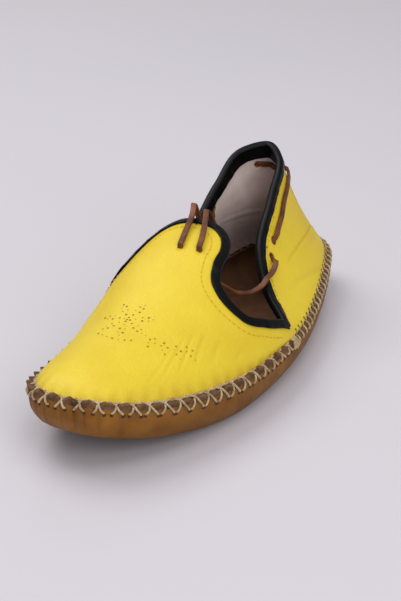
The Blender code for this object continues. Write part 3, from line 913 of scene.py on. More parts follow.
OUTER_HOLES = [Hole(0.0, 14.0), Hole(-0.523, 9.5), Hole(-0.612, 8.5)]
INNER_HOLES = [Hole(0.155, 12.0), Hole(0.523, 9.5), Hole(0.612, 8.5)]
OUTER_RUN = [
    Hole(-0.09, 11.8), Hole(-0.185, 10.8), Hole(-0.28, 10.5), Hole(-0.38, 10.5), Hole(-0.45, 10.0),
]
INNER_RUN = [Hole(0.24, 11.2), Hole(0.33, 10.6), Hole(0.42, 10.2)]
OUTER_TONGUE_HOLE = (3.0, -6.8)
INNER_TONGUE_HOLE = (-6.8, -8.9)
OUTER_LOOP = [
    (24.9, 37.0, 47.6), (26.9, 28.5, 45.2), (27.2, 22.5, 44.8), (26.8, 17.5, 42.6),
    (23.2, 13.0, 39.8), (19.2, 7.0, 41.0), (16.2, -0.5, 46.6), (13.6, -7.0, 52.5),
    (10.0, -11.0, 57.5), (6.0, -10.0, 61.0),
]
INNER_LOOP = [
    (-38.5, 37.0, 46.0), (-38.0, 28.5, 45.0), (-34.5, 22.5, 45.0), (-31.0, 17.0, 42.5),
    (-27.5, 10.0, 42.0), (-24.5, 2.0, 47.0), (-21.0, -5.5, 53.5), (-16.0, -10.5, 58.5),
    (-10.5, -11.0, 61.5),
]
OUTER_END = [
    (3.0, -6.8, 69.0), (1.4, -1.5, 70.5), (-1.0, 5.0, 72.4), (-4.0, 12.0, 74.2), (-6.5, 17.5, 75.8),
    (-8.5, 21.5, 76.0), (-9.0, 25.0, 73.6), (-8.0, 27.0, 69.0), (-6.0, 27.5, 64.0),
    (-4.0, 27.0, 59.5),
]
INNER_END = [
    (-6.8, -8.9, 69.2), (-8.2, -3.0, 71.2), (-10.2, 4.5, 73.0), (-12.2, 12.0, 74.6),
    (-14.0, 17.5, 77.0), (-16.0, 21.5, 78.0), (-17.2, 25.0, 75.6), (-17.0, 27.0, 71.0),
    (-15.5, 27.5, 66.0), (-13.5, 27.0, 61.0),
]


@dataclass
class Upper:
    """Vamp and quarter in yellow leather, with their creases, puckers, lace holes and suede lining."""

    last: Last
    seam: Seam
    leather: float = 2.0
    across: int = 560
    along: int = 72
    crowding: float = 1.35  # above 1 the rows crowd towards the sole
    tuck_up: float = 0.22  # how far up the leather is drawn in over the seam
    pucker_up: float = 0.16  # how far up the seam's puckers run
    rib_pitch: float = 8.5  # between two stations, where a crease's width is measured
    rib_length: float = 80.0
    quarter_half: float = 19.0  # in stations, from the middle of the heel
    quarter_rib: float = 70.0
    vamp_rib: float = 110.0
    hole_halves: Pair = (2.6, 2.0)  # half a lace hole, along and across
    tongue_halves: Pair = (1.9, 1.3)
    tight_spot: Pair = (63.0, 0.66)  # station and up, where the ribs crowd
    tight_size: Pair = (2.2, 0.24)
    relax_rounds: int = 60

    def surface(self, station: Array, up: Array) -> Array:
        """Points of the finished outer face."""
        station, up = np.broadcast_arrays(np.asarray(station, float), np.asarray(up, float))
        points = self.last.upper(station, up)
        low = (1 - np.clip(up / self.tuck_up, 0, 1)) ** 2
        return points - self.last.outward(station) * (self.seam.set_in * low)[..., None]

    def relief(self, station: Array, up: Array) -> tuple[Array, Array]:
        """How far the face stands out of its smooth form, and how much darker its colour is."""
        station, up = np.broadcast_arrays(np.asarray(station, float), np.asarray(up, float))
        near_seam = (1 - np.clip(up / self.pucker_up, 0, 1)) ** 1.5
        between = self.seam.between(station)
        height = near_seam * (between - 0.6) * (0.5 + 0.5 * self.seam.is_front(station))
        # Darker colour along the seam, most at the stitches, and in each crease's trough
        darkening = 0.55 * near_seam * (1 - 0.6 * between)
        in_quarter = np.abs(station - self.last.stations / 2) < self.quarter_half
        rib = np.where(in_quarter, self.quarter_rib, self.vamp_rib)
        for crease in CREASES:
            along = (station - crease.station_a) * self.rib_pitch
            from_a = np.stack([along, (up - crease.up_a) * rib], axis=-1)
            way = np.array([crease.station_b - crease.station_a, crease.up_b - crease.up_a])
            way = way * (self.rib_pitch, self.rib_length)
            run = from_a @ way / (way @ way)
            off = np.linalg.norm(from_a - np.clip(run, 0, 1)[..., None] * way, axis=-1)
            fade = np.sin(math.pi * np.clip(run * 0.9 + 0.1, 0, 1)) ** 0.6
            trough = bump(0, crease.width, off) * fade
            ridge = bump(2.2 * crease.width, crease.width, off) * fade
            height = height - crease.depth * (trough - 0.35 * ridge)
            darkening = darkening + 0.4 * crease.depth * trough
        return height, np.clip(darkening, 0, 1)

    def points(self, stations: Array, ups: Array) -> tuple[Array, Array, Array]:
        """Points, outward normals and darkening on a grid of places."""
        smooth = self.surface(stations[:, None], ups[None, :])
        round_it = np.gradient(smooth, axis=0)
        closed = smooth[1] - smooth[-2]
        if np.allclose(smooth[0], smooth[-1], atol=1e-6):
            round_it[0] = round_it[-1] = closed
        normal = unit(np.cross(round_it, np.gradient(smooth, axis=1)))
        height, darkening = self.relief(stations[:, None], ups[None, :])
        return smooth + normal * height[..., None], normal, darkening

    def holes(self) -> list[Punch]:
        """The lace holes: three on each side of the quarter and two in the tongue."""
        found = []
        for hole in OUTER_HOLES + INNER_HOLES:
            here, normal, down = self.last.face_frame(self.last.quarter_beside, hole.share, hole.depth)
            found.append(Punch(here, np.cross(normal, down), down, *self.hole_halves))
        ways = np.array([1.0, 0, 0]), np.array([0, 1.0, 0.1])
        for plan in (OUTER_TONGUE_HOLE, INNER_TONGUE_HOLE):
            found.append(Punch(self.last.on_vamp(np.array(plan)), *ways, *self.tongue_halves))
        return found

    def punch(self, made: BMesh) -> None:
        """Opens the lace holes and draws the leather's vertices to their edges."""
        for hole in self.holes():
            halves = np.array([hole.half_along, hole.half_across])
            ways = np.array([hole.along, hole.across])
            local = {}
            for vert in made.verts:
                way = np.array(vert.co) / MM - hole.middle
                if np.linalg.norm(way) < 3 * halves.max():
                    local[vert] = ways @ way / halves
            gone = []
            for face in {face for vert in local for face in vert.link_faces}:
                spots = [local[v] for v in face.verts if v in local]
                if len(spots) == len(face.verts) and np.linalg.norm(np.mean(spots, axis=0)) < 0.95:
                    gone.append(face)
            edge = {vert for face in gone for vert in face.verts}
            bmesh.ops.delete(made, geom=gone, context="FACES")
            for vert in edge:
                if vert.is_valid:
                    spot = local[vert]
                    shift = spot / max(np.linalg.norm(spot), 1e-6) - spot
                    vert.co = np.array(vert.co) + (shift * halves) @ ways * MM

    def relaxed(self, points: Array, stations: Array, ups: Array) -> Array:
        """The points, spread evenly where the ribs crowd together at the vamp's inner corner."""
        places = zip(self.tight_spot, self.tight_size, (stations, ups))
        weight = np.outer(*(bump(middle, width, at) for middle, width, at in places))
        weight[:, -1] = 0
        for _ in range(self.relax_rounds):
            mean = (np.roll(points, 1, axis=0) + np.roll(points, -1, axis=0)) / 2
            mean[:, 1:-1] = (mean[:, 1:-1] + (points[:, 2:] + points[:, :-2]) / 2) / 2
            points = points + (mean - points) * weight[..., None]
        return points

    def build(self, leather: Material, lining: Material, edge: Material) -> None:
        """Makes the upper's piece."""
        stations = np.linspace(0, self.last.stations, self.across + 1)
        ups = np.linspace(0, 1, self.along + 1) ** self.crowding
        points, _, darkening = self.points(stations, ups)
        points = self.relaxed(points, stations, ups)
        points[-1] = points[0]
        made = bmesh.new()
        lay_sheet(made, points, darkening)
        bmesh.ops.remove_doubles(made, verts=made.verts, dist=1e-6)
        self.punch(made)
        finishes = [leather, lining, edge]
        piece = make_piece("yellow_upper", made, finishes, ["upper"], closed=False)
        wall = piece.modifiers.new("leather and lining", "SOLIDIFY")
        wall.thickness = self.leather * MM
        wall.offset = -1.0
        wall.use_even_offset = False
        wall.use_quality_normals = True
        wall.material_offset = 1
        wall.material_offset_rim = 2


@dataclass
class Sole:
    """One piece of oiled hide drawn up into a tray, with a raw edge puckered by the stitches."""

    last: Last
    seam: Seam
    wall: float = 3.2
    bottom: float = 4.0
    across: int = 560
    wall_rows: int = 26
    floor_rows: int = 5
    rim_rows: int = 6
    fold_down: float = 0.38  # how far down the wall the folds are deepest
    fold_height: float = 0.34
    lip: float = 0.2  # share of the wall that turns outwards with the raw edge
    flare_out: float = 1.7  # how far the raw edge stands out between two stitches
    curl: float = 0.9  # how much of that it keeps over its top
    crown: float = 0.35  # how much its top rounds up

    # Roughness of the cut along the raw edge, as waves
    ragged = [(0.25, 9.7, 0.0), (0.2, 23.1, 1.3)]
    # The wall's profile: share of the height, share of the tuck drawn in, and swell in millimetres
    steps = [
        (1.00, 0.00, 0.0),
        (0.78, 0.00, 0.9),
        (0.52, 0.12, 1.4),
        (0.28, 0.40, 1.2),
        (0.10, 0.85, 0.6),
        (0.00, 1.60, 0.0),
    ]
    # Soft folds in the wall round the toe: station, width in stations and depth
    folds = [
        (0.7, 0.16, 0.8),
        (1.9, 0.20, 1.1),
        (2.8, 0.14, 0.8),
        (4.1, 0.22, 0.7),
        (6.0, 0.20, 0.4),
        (-0.8, 0.18, 0.8),
        (-2.1, 0.20, 0.9),
        (-3.6, 0.20, 0.6),
        (37.2, 0.2, 0.5),
        (39.0, 0.2, 0.6),
        (41.2, 0.2, 0.6),
        (43.0, 0.2, 0.5),
    ]

    def ring(self, stations: Array, down: Array, wall: float) -> Array:
        """Points of a face of the wall: down is 0 at the edge and 1 at the underside."""
        profile = Curve(np.linspace(0, 1, len(self.steps)), self.steps)(down)
        height, inset, swell = profile[..., 0], profile[..., 1], profile[..., 2]
        edge = self.last.rim(stations)
        tuck = self.last.outline["tuck"](edge[..., 1] / self.last.half_length)
        ring = edge - self.last.outward(stations) * (tuck * inset - swell + wall)[..., None]
        low = self.last.ground(ring[..., 1]) + (self.bottom if wall else 0)
        ring[..., 2] = low + (edge[..., 2] - low) * height
        return ring

    def fold_depth(self, stations: Array, down: Array) -> Array:
        """How far the toe's folds draw in the wall."""
        half = self.last.stations / 2
        total = 0 * stations * down
        for station, width, depth in self.folds:
            off = (stations - station + half) % self.last.stations - half
            soft = bump(0, width, off) - 0.5 * bump(2.4 * width, 1.5 * width, np.abs(off))
            total = total + 0.5 * depth * soft * bump(self.fold_down, self.fold_height, down)
        return total

    def narrowed(self, ring: Array, share: float, lift: float) -> Array:
        """The ring drawn in sideways to its middle line, lying on the sole's underside or above."""
        middle = (ring + ring[::-1]) / 2
        drawn = middle + (ring - middle) * share
        drawn[:, 2] = self.last.ground(drawn[:, 1]) + lift
        return drawn

    def crust(self, stations: Array) -> Array:
        """Height of the raw edge over the rim."""
        front = self.seam.is_front(stations)
        lump = np.floor(self.seam.phase(stations))
        scallop = self.seam.between(stations) ** 0.6 * (1 + 0.3 * np.sin(COUNT_TURN * lump))
        high = self.seam.crust * scallop + waves(self.ragged, stations) - 0.3
        return front * high + (1 - front) * (0.5 * scallop - 0.1)

    def flare(self, stations: Array) -> Array:
        """How far the raw edge stands outwards between two stitches."""
        lump = np.floor(self.seam.phase(stations))
        uneven = 1 + 0.25 * np.sin(COUNT_TURN * lump + 2.0)
        return self.flare_out * uneven * self.seam.is_front(stations) * self.seam.between(stations) ** 0.7

    def face(self, stations: Array, downs: Array) -> Array:
        """Points of the wall's finished outer face, at every station and every share down."""
        outside = self.ring(stations[:, None], downs[None, :], 0.0)
        lift = (1 - np.clip(downs / self.lip, 0, 1)) ** 1.5
        out = self.flare(stations)[:, None] * lift - self.fold_depth(stations[:, None], downs)
        outside += self.last.outward(stations)[:, None] * out[..., None]
        outside[..., 2] += self.crust(stations)[:, None] * lift
        return outside

    def build(self, hide: Material, raw: Material, flesh: Material) -> None:
        """Makes the sole's piece."""
        stations = np.linspace(0, self.last.stations, self.across + 1)
        downs = np.linspace(0, 1, self.wall_rows + 1)
        outside = self.face(stations, downs)
        crust, flare = self.crust(stations), self.flare(stations)
        inside = self.ring(stations[:, None], downs[None, :], self.wall)
        shares = np.linspace(0, 1, self.floor_rows + 1)
        under = [self.narrowed(outside[:, -1], share, 0.0) for share in shares[:-1]]
        over = [self.narrowed(inside[:, -1], share, self.bottom) for share in shares[-2::-1]]
        outward = self.last.outward(stations)
        rim = self.last.rim(stations)
        top = []
        for share in np.linspace(0, 1, self.rim_rows + 2)[1:-1]:
            in_by = share * self.wall
            height = np.where(in_by < self.seam.set_in, crust * (1 - 0.1 * share), -0.1)
            curled = self.curl * flare * math.sin(math.pi * min(share * 1.3, 1))
            point = rim - outward * (in_by + 0.5 * curled - flare * (1 - share))[:, None]
            point[:, 2] += height + self.crown * math.sin(math.pi * min(share * 1.4, 1))
            top.append(point)
        under, top, over = (np.stack(rings, axis=1) for rings in (under, top, over))
        points = np.concatenate([under, outside[:, ::-1], top, inside, over], axis=1)
        points[-1] = points[0]
        rim_from = self.floor_rows + self.wall_rows
        # Darker colour in the wall's folds and on the underside
        darkening = np.zeros(points.shape[:2])
        folds = self.fold_depth(stations[:, None], downs)[:, ::-1]
        darkening[:, self.floor_rows : rim_from + 1] = np.clip(folds * 0.9, 0, 1)
        darkening[:, : self.floor_rows] = 0.8
        made = bmesh.new()
        cells = lay_sheet(made, points, darkening)
        paint_bands(cells, [(0, 0), (rim_from - 2, 1), (rim_from + self.rim_rows, 2)])
        bmesh.ops.remove_doubles(made, verts=made.verts, dist=1e-6)
        make_piece("tan_sole", made, [hide, raw, flesh], ["sole"])


@dataclass
class InsoleLeaf:
    """Thin dark leather that lies in the tray, its edge a little soft."""

    sole: Sole
    gap: float = 0.3
    thickness: float = 2.0
    rows: int = 14

    # Hollows and rubbed places under the heel and the ball, as humps
    hollows = [(0.5, 78, 30), (0.6, -45, 34)]
    rubs = [(0.7, 80, 28), (0.6, -48, 30)]
    # The rounded edge: share of the leaf's width, and height
    round_edge = [(0.998, 0.5), (1.0, 1.0), (0.996, 1.6)]

    def build(self, leather: Material) -> None:
        """Makes the insole's piece."""
        stations = np.linspace(0, self.sole.last.stations, 241)
        edge = self.sole.ring(stations, 0 * stations + 1, self.sole.wall + self.gap)
        low = self.sole.bottom + self.gap
        shares = np.linspace(0, 1, self.rows)
        rows = [self.sole.narrowed(edge, share, low) for share in shares]
        rows += [self.sole.narrowed(edge, share, low + lift) for share, lift in self.round_edge]
        worn = []
        for share in shares[::-1] * 0.99:
            ring = self.sole.narrowed(edge, share, low + self.thickness)
            ring[:, 2] -= humps(self.hollows, ring[:, 1]) * (1 - share**2)
            worn.append(ring)
        points = np.stack(rows + worn, axis=1)
        points[-1] = points[0]
        darkening = np.clip(humps(self.rubs, points[..., 1]), 0, 1)
        made = bmesh.new()
        lay_sheet(made, points, darkening)
        bmesh.ops.remove_doubles(made, verts=made.verts, dist=1e-6)
        make_piece("dark_insole", made, [leather], ["insole"])


@dataclass
class Binding:
    """A strip of glazed leather folded over a top edge."""

    name: str
    stands_for: str
    last: Last
    beside: Callable
    outside: float  # how far down it reaches on the outer face
    inside: float
    inside_middle: float  # the same in the middle of the edge
    middle_share: float = 0.42
    reach: float = 1.0
    leather: float = 2.0
    gap: float = 0.3
    skin: float = 0.9
    fold_rise: float = 0.72  # height of the fold over the edge, against a half circle's
    runs: int = 260

    # Unevenness of the strip along its length, as waves
    ripples = [(0.12, 61, 0), (0.08, 113, 1)]

    def section(self) -> list[Triple]:
        """The closed section: rows of width share, level over the outer face and rise over the edge."""
        out = self.gap + self.skin
        radius = self.leather / 2 + out
        bent = [math.pi * i / 10 for i in range(11)]
        half, back = self.leather / 2, -self.leather - self.gap
        rows = [(share, out - 0.25 * (share > 0.95), 0.0) for share in (1.0, 0.93, 0.75, 0.5, 0.25, 0.0)]
        for turn in bent[1:-1]:
            rows.append((0.0, radius * math.cos(turn) - half, self.fold_rise * radius * math.sin(turn)))
        rows += [(-share, -self.leather - out, 0.0) for share in (1e-6, 0.2, 0.4, 0.6, 0.8, 0.95, 1.0)]
        rows += [(-1.0, back, 0.0), (-0.5, back, 0.0), (-1e-6, back, self.gap)]
        rows += [(0.0, self.gap, self.gap), (0.5, self.gap, 0.0), (1.0, self.gap, 0.0)]
        return rows + rows[:1]

    def build(self, leather: Material) -> None:
        """Makes the binding's piece."""
        shares = np.linspace(-self.reach, self.reach, self.runs + 1)
        near = np.cos(math.pi / 2 * np.minimum(np.abs(shares) / self.middle_share, 1)) ** 2
        facing = self.inside + (self.inside_middle - self.inside) * near
        ripple = waves(self.ripples, shares)
        rows = []
        for width, level, rise in self.section():
            depth = width * self.outside if width >= 0 else -width * facing
            here, normal, down = self.last.face_frame(self.beside, shares, depth + 0 * shares)
            level = level + ripple * (abs(width) > 0.3) * np.sign(level + 1)
            rows.append(here + normal * level[:, None] - down * rise)
        points = np.stack(rows, axis=1)
        made = bmesh.new()
        add_tube(made, points)
        make_piece(self.name, made, [leather], [self.stands_for])


@dataclass
class Thong:
    """The flat lace: round the heel, in and out of the quarter and up behind the tongue."""

    last: Last
    width: float = 3.0
    thickness: float = 1.5
    outside: float = 1.3
    leather: float = 2.0
    hole_slope: float = 0.023
    step: float = 0.8
    through: Triple = (-4.2, -1.5, 0.3)  # its heights on the way up through the tongue's hole

    def slip(self, hole: Hole, outwards: bool) -> list[Triple]:
        """Where the thong slips through a hole, moving from the heel to the toe."""
        inside = -self.leather - self.outside
        side = -1 if hole.share < 0.05 else 1
        levels = (inside, -self.leather / 2, self.outside)
        levels = levels if outwards else levels[::-1]
        steps = (-self.hole_slope, 0.0, self.hole_slope)
        return [(hole.share + side * step, hole.depth, level) for step, level in zip(steps, levels)]

    def half(self, holes: list, run: list, loop: list, tongue_hole: tuple) -> tuple[list, list]:
        """Points and flat directions on one side, from the heel's hole to the tongue."""
        rows = self.slip(holes[0], True) + [(p.share, p.depth, self.outside) for p in run]
        rows += self.slip(holes[1], False) + self.slip(holes[2], True)
        share, depth, level = (np.array(column) for column in zip(*rows))
        here, normal, _ = self.last.face_frame(self.last.quarter_beside, share, depth)
        points = list(here + normal * level[:, None]) + [np.array(p) for p in loop]
        hints = list(normal) + [np.array([0.0, -0.3, 1.0])] * len(loop)
        top = self.last.on_vamp(np.array(tongue_hole))
        points += [top + np.array([0, 0, level]) for level in self.through]
        hints += [np.array([0.0, 1.0, 0.2])] * 3
        return points, hints

    def strip(self, points: Sequence, hints: Sequence, made: BMesh, thin_end: bool = False) -> None:
        """Adds the flat strip through points."""
        run = run_along(np.array(points))
        at = np.linspace(0, run[-1], int(run[-1] / self.step) + 1)
        line = Curve(run, points)(at)
        rows = tube_points(line, Curve(run, hints)(at), flat_section(self.width, self.thickness))
        if thin_end:
            middle = line[:, None]
            narrow = 1 - 0.35 * smooth_step(0.9, 1.0, at / run[-1])
            rows = middle + (rows - middle) * narrow[:, None, None]
        add_tube(made, rows)

    def build(self, leather: Material) -> None:
        """Makes the lace's piece."""
        outer, outer_hints = self.half(OUTER_HOLES, OUTER_RUN, OUTER_LOOP, OUTER_TONGUE_HOLE)
        inner, inner_hints = self.half(INNER_HOLES, INNER_RUN, INNER_LOOP, INNER_TONGUE_HOLE)
        share = (OUTER_HOLES[0].share + INNER_HOLES[0].share) / 2
        depth = (OUTER_HOLES[0].depth + INNER_HOLES[0].depth) / 2
        here, normal, _ = self.last.face_frame(self.last.quarter_beside, share, depth)
        middle = here - normal * (self.leather + self.outside)
        made = bmesh.new()
        self.strip(outer[::-1] + [middle] + inner, outer_hints[::-1] + [normal] + inner_hints, made)
        make_piece("thong_lace", made, [leather], ["lace"])

    def build_end(self, name: str, stands_for: str, route: list, leather: Material) -> None:
        """Makes one free end, which comes out of its hole and flips back over the tongue."""
        made = bmesh.new()
        line = line_through(route)(np.linspace(0, 1, 24))
        root = self.last.on_vamp(np.array(route[0][:2]))
        points = np.vstack([[root - (0, 0.5, 1.6), root + (0, 0.1, 0.3)], line])
        way = unit(np.gradient(points, axis=0))
        hints = np.cross(way, np.tile([1.0, 0.0, 0.0], (len(way), 1)))
        hints[:2] = (0.0, 1.0, 0.2)
        self.strip(points, hints, made, thin_end=True)
        piece = make_piece(name, made, [leather], [stands_for])


@dataclass
class SeamCords:
    """The seam's waxed cotton: crossed over the edge round the front, whipped over it round the heel."""

    last: Last
    upper: Upper
    sole: Sole
    seam: Seam
    sides: int = 8
    lean: float = 0.34  # from a crossing to its needle holes, in stitches
    whip_lean: float = 0.24
    sunk: float = 0.9  # how deep a cord's end goes into the upper
    sunk_low: float = 1.4  # and into the sole
    hole_size: float = 0.95  # radius of a needle hole

    def station(self, phase: float) -> float:
        """The station at a count of stitches."""
        past = phase - self.seam.front_count
        rest = self.seam.lengths[-1] - self.seam.front_length
        front = phase / self.seam.front_count * self.seam.front_length
        length = front if past <= 0 else self.seam.front_length + past / self.seam.heel_count * rest
        return float(self.seam.station_at(length % self.seam.lengths[-1]))

    def on_upper(self, phase: float, rise: float) -> tuple[Array, Array]:
        """A place on the upper at a height over its edge, and the normal there."""
        station = self.station(phase)
        foot, above = self.upper.surface(np.full(2, station), np.array([0.0, 0.05]))
        up = 0.05 * rise / np.linalg.norm(above - foot)
        near = station + np.array([-0.1, 0, 0.1]), up + np.array([-0.01, 0, 0.01])
        points, normals, _ = self.upper.points(*near)
        return points[1, 1], normals[1, 1]

    def on_sole(self, phase: float, drop: float) -> tuple[Array, Array]:
        """A place on the sole's wall at a depth under its edge, and the way outwards there."""
        station = np.array([self.station(phase)])
        top, below = (self.sole.ring(station, np.array([share]), 0.0) for share in (0.0, 0.2))
        down = 0.2 * drop / np.linalg.norm(top - below)
        return self.sole.face(station, np.array([down]))[0, 0], self.last.outward(station)[0]

    def on_edge(self, phase: float, inwards: float, lift: float) -> Array:
        """A place over the raw edge."""
        station = np.array([self.station(phase)])
        point = self.last.rim(station)[0] - self.last.outward(station)[0] * inwards
        return point + np.array([0, 0, float(self.sole.crust(station)[0]) + lift])

    def lay(self, made: BMesh, points: Sequence, steps: int = 18) -> None:
        """Adds a cord through points."""
        line = line_through(points)(np.linspace(0, 1, steps))
        outward = unit(line * np.array([1.0, 0.6, 0.0])) + np.array([0, 0, 1.0])
        add_tube(made, tube_points(line, outward, round_section(self.seam.cord / 2, self.sides)))

    def over_edge(
        self, made: BMesh, at: float, lean: float, rise: float, drop: float, lift: float
    ) -> None:
        """Adds one stitch over the edge.

        Args:
            made: the mesh that it is added to.
            at: where it crosses the edge, in stitches.
            lean: how far its hole in the upper lies ahead, and that in the sole behind.
            rise: height of the hole in the upper.
            drop: depth of the hole in the sole.
            lift: height over the raw edge.
        """
        half, bend = self.seam.cord / 2, 0.45 * lean
        hole, normal = self.on_upper(at + lean, rise)
        near, near_normal = self.on_upper(at + bend, 0.8)
        low, outward = self.on_sole(at - lean, drop)
        below, below_outward = self.on_sole(at - bend, 1.3)
        points = [
            hole - normal * self.sunk,
            hole + normal * half * 0.8,
            near + near_normal * half,
            self.on_edge(at, 1.0, half + lift),
            below + below_outward * half,
            low + outward * half * 0.7,
            low - outward * self.sunk_low,
        ]
        self.lay(made, points)

    def build(self, cotton: Material, shade: Material) -> None:
        """Makes the cords, and dark discs of painted shade for the needle holes."""
        made, holes = bmesh.new(), bmesh.new()
        up, down = self.seam.front_up, self.seam.hole_down
        for at in range(1, self.seam.front_count):
            for side, lift in ((1, 0.0), (-1, self.seam.cord * 0.7)):
                lean = side * self.lean * (1 + 0.25 * wobble(at, side))
                drop = down * (1 + 0.22 * wobble(at, 2 + side))
                self.over_edge(made, at, lean, up, drop, lift)
                # Painted shade: a dark disc where the cord goes into the sole
                spot, outward = self.on_sole(at - lean * 1.08, drop + 0.9)
                add_disc(holes, spot + outward * 0.15, outward, self.hole_size)
        for at in range(1, self.seam.heel_count):
            count = self.seam.front_count + at
            rise = self.seam.hole_up * (1 + 0.15 * wobble(at, 5))
            self.over_edge(made, count, self.whip_lean * (1 + 0.3 * wobble(at, 6)), rise, 2.6, 0.0)
            # Painted shade: a dark disc where the cord goes into the upper
            spot, normal = self.on_upper(count + self.whip_lean, rise + 0.8)
            add_disc(holes, spot + normal * 0.12, normal, self.hole_size - 0.1)
        stations = np.linspace(-self.last.seam_station + 0.4, self.last.seam_station - 0.4, 420)
        points, normals, _ = self.upper.points(stations, np.array([0.006, 0.012, 0.018]))
        line = points[:, 1] + normals[:, 1] * 0.35
        section = round_section(self.seam.cord * 0.45, self.sides)
        add_tube(made, tube_points(line, normals[:, 1], section))
        for corner in (0.0, float(self.seam.front_count)):
            for i in range(5):
                self.corner(made, corner, -0.5 + 0.25 * i)
        make_piece("seam_cord", made, [cotton])
        make_piece("needle_holes", holes, [shade])

    def corner(self, made: BMesh, corner: float, offset: float) -> None:
        """Adds one of the stitches that bunch together where vamp and quarter meet."""
        low, outward = self.on_sole(corner + offset, 4.0 - 2.0 * abs(offset))
        above = self.on_edge(corner + 0.6 * offset, 0.8, 0.7)
        inner = self.on_edge(corner + 0.3 * offset, 3.4, 2.6)
        half = self.seam.cord / 2
        sunk = self.on_edge(corner + 0.2 * offset, 5.6, -0.4)
        self.lay(made, [low - outward * 1.3, low + outward * half, above, inner, sunk])


def add_disc(made: BMesh, middle: Array, normal: Array, radius: float) -> None:
    """Adds a small disc that lies square to a normal."""
    turned = Vector((0, 0, 1)).rotation_difference(Vector(normal)).to_matrix().to_4x4()
    place = Matrix.Translation(Vector(middle * MM)) @ turned
    bmesh.ops.create_circle(made, cap_ends=True, segments=10, radius=radius * MM, matrix=place)


@dataclass
class StitchLine:
    """A machine-sewn line that follows a binding, in thread of the leather's own colour."""

    name: str
    last: Last
    beside: Callable
    depth: float
    reach: float = 0.93
    pitch: float = 3.2
    stitch: float = 2.5
    thread: float = 0.5
    steps: int = 7

    def build(self, thread: Material) -> None:
        """Makes the stitches."""
        shares = np.linspace(-self.reach, self.reach, 500)
        here, normal, _ = self.last.face_frame(self.beside, shares, self.depth + 0 * shares)
        run = run_along(here)
        rise = 0.42 * np.sin(np.linspace(0, math.pi, self.steps)) ** 0.7 - 0.2
        section = round_section(self.thread / 2, 6)
        made = bmesh.new()
        for start in np.arange(0, run[-1] - self.pitch, self.pitch):
            at = start + np.linspace(0, self.stitch, self.steps)
            line, out = (
                np.stack([np.interp(at, run, column) for column in rows.T], axis=-1)
                for rows in (here, normal)
            )
            add_tube(made, tube_points(line + out * rise[:, None], out, section))
        make_piece(self.name, made, [thread])


@dataclass
class Ornament:
    """Pinholes pricked into the vamp: a round flower and a spray of leaves that trails outwards."""

    last: Last
    middle: Pair = (-6.0, -63.0)
    bud: float = 1.6  # between the pinholes in its middle
    petals: int = 7
    petal_rings = [(4.2, (0.0,)), (7.6, (-0.17, 0.17)), (10.6, (-0.11, 0.11)), (12.8, (0.0,))]
    stem = [(8.0, -69.0), (14.0, -70.5), (20.0, -68.5), (26.0, -64.5), (29.0, -60.0)]
    leaf = [(-14.0, -77.0), (-7.5, -79.0), (-1.0, -78.5), (4.0, -76.0)]
    stray: Pair = (-0.575, 4.6)  # share and depth of one more, beside the lace holes
    radius: float = 0.58

    def plan(self) -> list[Pair]:
        """Places of the pinholes in plan."""
        x, y = self.middle
        cross = (0, 0), (1, 0), (-1, 0), (0, -1), (0, 1)
        found = [(x + self.bud * i, y + self.bud * j) for i, j in cross]
        for petal in range(self.petals):
            for radius, turns in self.petal_rings:
                for turn in turns:
                    angle = 2 * math.pi * (petal + 0.5) / self.petals + turn
                    found.append((x + radius * math.cos(angle), y + radius * math.sin(angle)))
        found += [tuple(spot) for spot in line_through(self.leaf)(np.linspace(0, 1, 7))]
        line = line_through(self.stem)(np.linspace(0, 1, 9))
        way = unit(np.gradient(line, axis=0))
        for i, (point, along) in enumerate(zip(line, way)):
            found.append(tuple(point))
            if i % 2:
                side = np.array([-along[1], along[0]])
                for out, on in ((2.3, 1.0), (-2.3, 1.0), (-4.2, 2.6)):
                    found.append(tuple(point + side * out + along * on))
        return found

    def build(self, shade: Material) -> None:
        """Makes the pinholes, as discs of painted shade."""
        made = bmesh.new()
        for i, (x, y) in enumerate(self.plan()):
            here, east, north = self.last.on_vamp(np.array([[x, y], [x + 0.5, y], [x, y + 0.5]]))
            normal = unit(np.cross(east - here, north - here))
            add_disc(made, here + normal * 0.12, normal, self.radius * (0.8 + 0.3 * math.sin(i * 2.3)))
        share, depth = self.stray
        here, normal, _ = self.last.face_frame(self.last.quarter_beside, np.array([share]), depth)
        add_disc(made, here[0] + normal[0] * 0.12, normal[0], self.radius * 1.3)
        make_piece("pinhole_ornament", made, [shade])


# Studio

# Smooth pale board that the shoe stands on, a little glossy
BOARD = Finish(
    "pale_board", "DAD6DB", "D8D4DA", "D0CCD2", Pattern.NAP,
    grain=2.0, relief=0.004, mottle=400.0, roughness=0.24, roughness_spread=0.02,
)


class Lamp(NamedTuple):
    """A soft lamp that looks at the shoe. Sizes are in metres and power in watts."""

    name: str
    place: Triple
    size: float
    power: float


LAMPS = [
    Lamp("key", (-0.70, 0.10, 1.10), 0.8, 7.5),
    Lamp("front", (1.1, -0.7, 0.85), 1.1, 8.5),
    Lamp("top", (0.25, -0.10, 1.5), 0.9, 5.0),
]


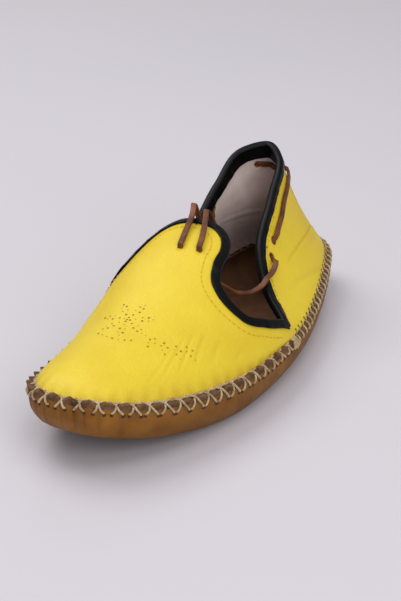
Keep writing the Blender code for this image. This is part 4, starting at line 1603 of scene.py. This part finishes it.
@dataclass
class Studio:
    """The floor, the light and the camera."""

    floor_size: float = 8.0
    room: str = "E4E2E8"
    room_strength: float = 0.48
    lamp_aim: Triple = (0.0, 0.0, 0.03)
    camera: Triple = (398.5, -714.6, 435.6)
    aim: Triple = (0.0, 0.0, 35.0)
    sensor: float = 36.0
    lens: float = 157.0

    def look(self, thing: bpy.types.Object, target: Vector) -> None:
        """Turns a lamp or camera to a target."""
        thing.rotation_euler = (target - thing.location).to_track_quat("-Z", "Y").to_euler()

    def build(self) -> None:
        """Makes everything round the shoe."""
        scene = bpy.context.scene
        made = bmesh.new()
        bmesh.ops.create_grid(made, x_segments=1, y_segments=1, size=self.floor_size / 2)
        floor = add_object("floor", take_mesh("floor", made))
        floor.data.materials.append(BOARD.build())
        world = bpy.data.worlds.new("room")
        world.use_nodes = True
        room = world.node_tree.nodes["Background"]
        room.inputs["Color"].default_value = linear(self.room)
        room.inputs["Strength"].default_value = self.room_strength
        scene.world = world
        for lamp in LAMPS:
            data = bpy.data.lights.new(lamp.name, "AREA")
            data.size = lamp.size
            data.energy = lamp.power
            light = add_object(lamp.name, data)
            light.location = lamp.place
            self.look(light, Vector(self.lamp_aim))
        data = bpy.data.cameras.new("camera")
        data.sensor_fit = "HORIZONTAL"
        data.sensor_width = self.sensor
        data.lens = self.lens
        camera = add_object("camera", data)
        camera.location = Vector((np.array(self.camera) + PLACE) * MM)
        self.look(camera, Vector((np.array(self.aim) + PLACE) * MM))
        scene.camera = camera
        scene.view_settings.view_transform = "Standard"


def main() -> None:
    """Builds the shoe and its studio."""
    logging.basicConfig(level=logging.INFO)
    last = Last()
    seam = Seam(last)
    upper = Upper(last, seam)
    sole = Sole(last, seam)
    yellow, suede, hide, shade = YELLOW.build(), SUEDE.build(), HIDE.build(), PRICKED.build()
    black, brown, thread = GLAZED_BLACK.build(), THONG.build(), YELLOW_THREAD.build()
    sole.build(hide, RAW_HIDE.build(), FLESH_HIDE.build())
    InsoleLeaf(sole).build(INSOLE.build())
    upper.build(yellow, suede, CUT_YELLOW.build())
    vamp, quarter = last.vamp_beside, last.quarter_beside
    for name, stands_for, beside, *widths in (
        ("black_vamp_binding", "vamp_binding", vamp, 4.0, 5.5, 5.5),
        ("black_quarter_binding", "quarter_binding", quarter, 3.2, 5.6, 8.6),
    ):
        Binding(name, stands_for, last, beside, *widths).build(black)
    thong = Thong(last)
    thong.build(brown)
    thong.build_end("thong_end_outer", "lace_end_outer", OUTER_END, brown)
    thong.build_end("thong_end_inner", "lace_end_inner", INNER_END, brown)
    SeamCords(last, upper, sole, seam).build(CORD.build(), shade)
    StitchLine("vamp_stitches", last, vamp, depth=8.8).build(thread)
    StitchLine("quarter_stitches", last, quarter, depth=5.5).build(thread)
    Ornament(last).build(PINHOLE.build())
    Studio().build()


if __name__ == "__main__":
    main()
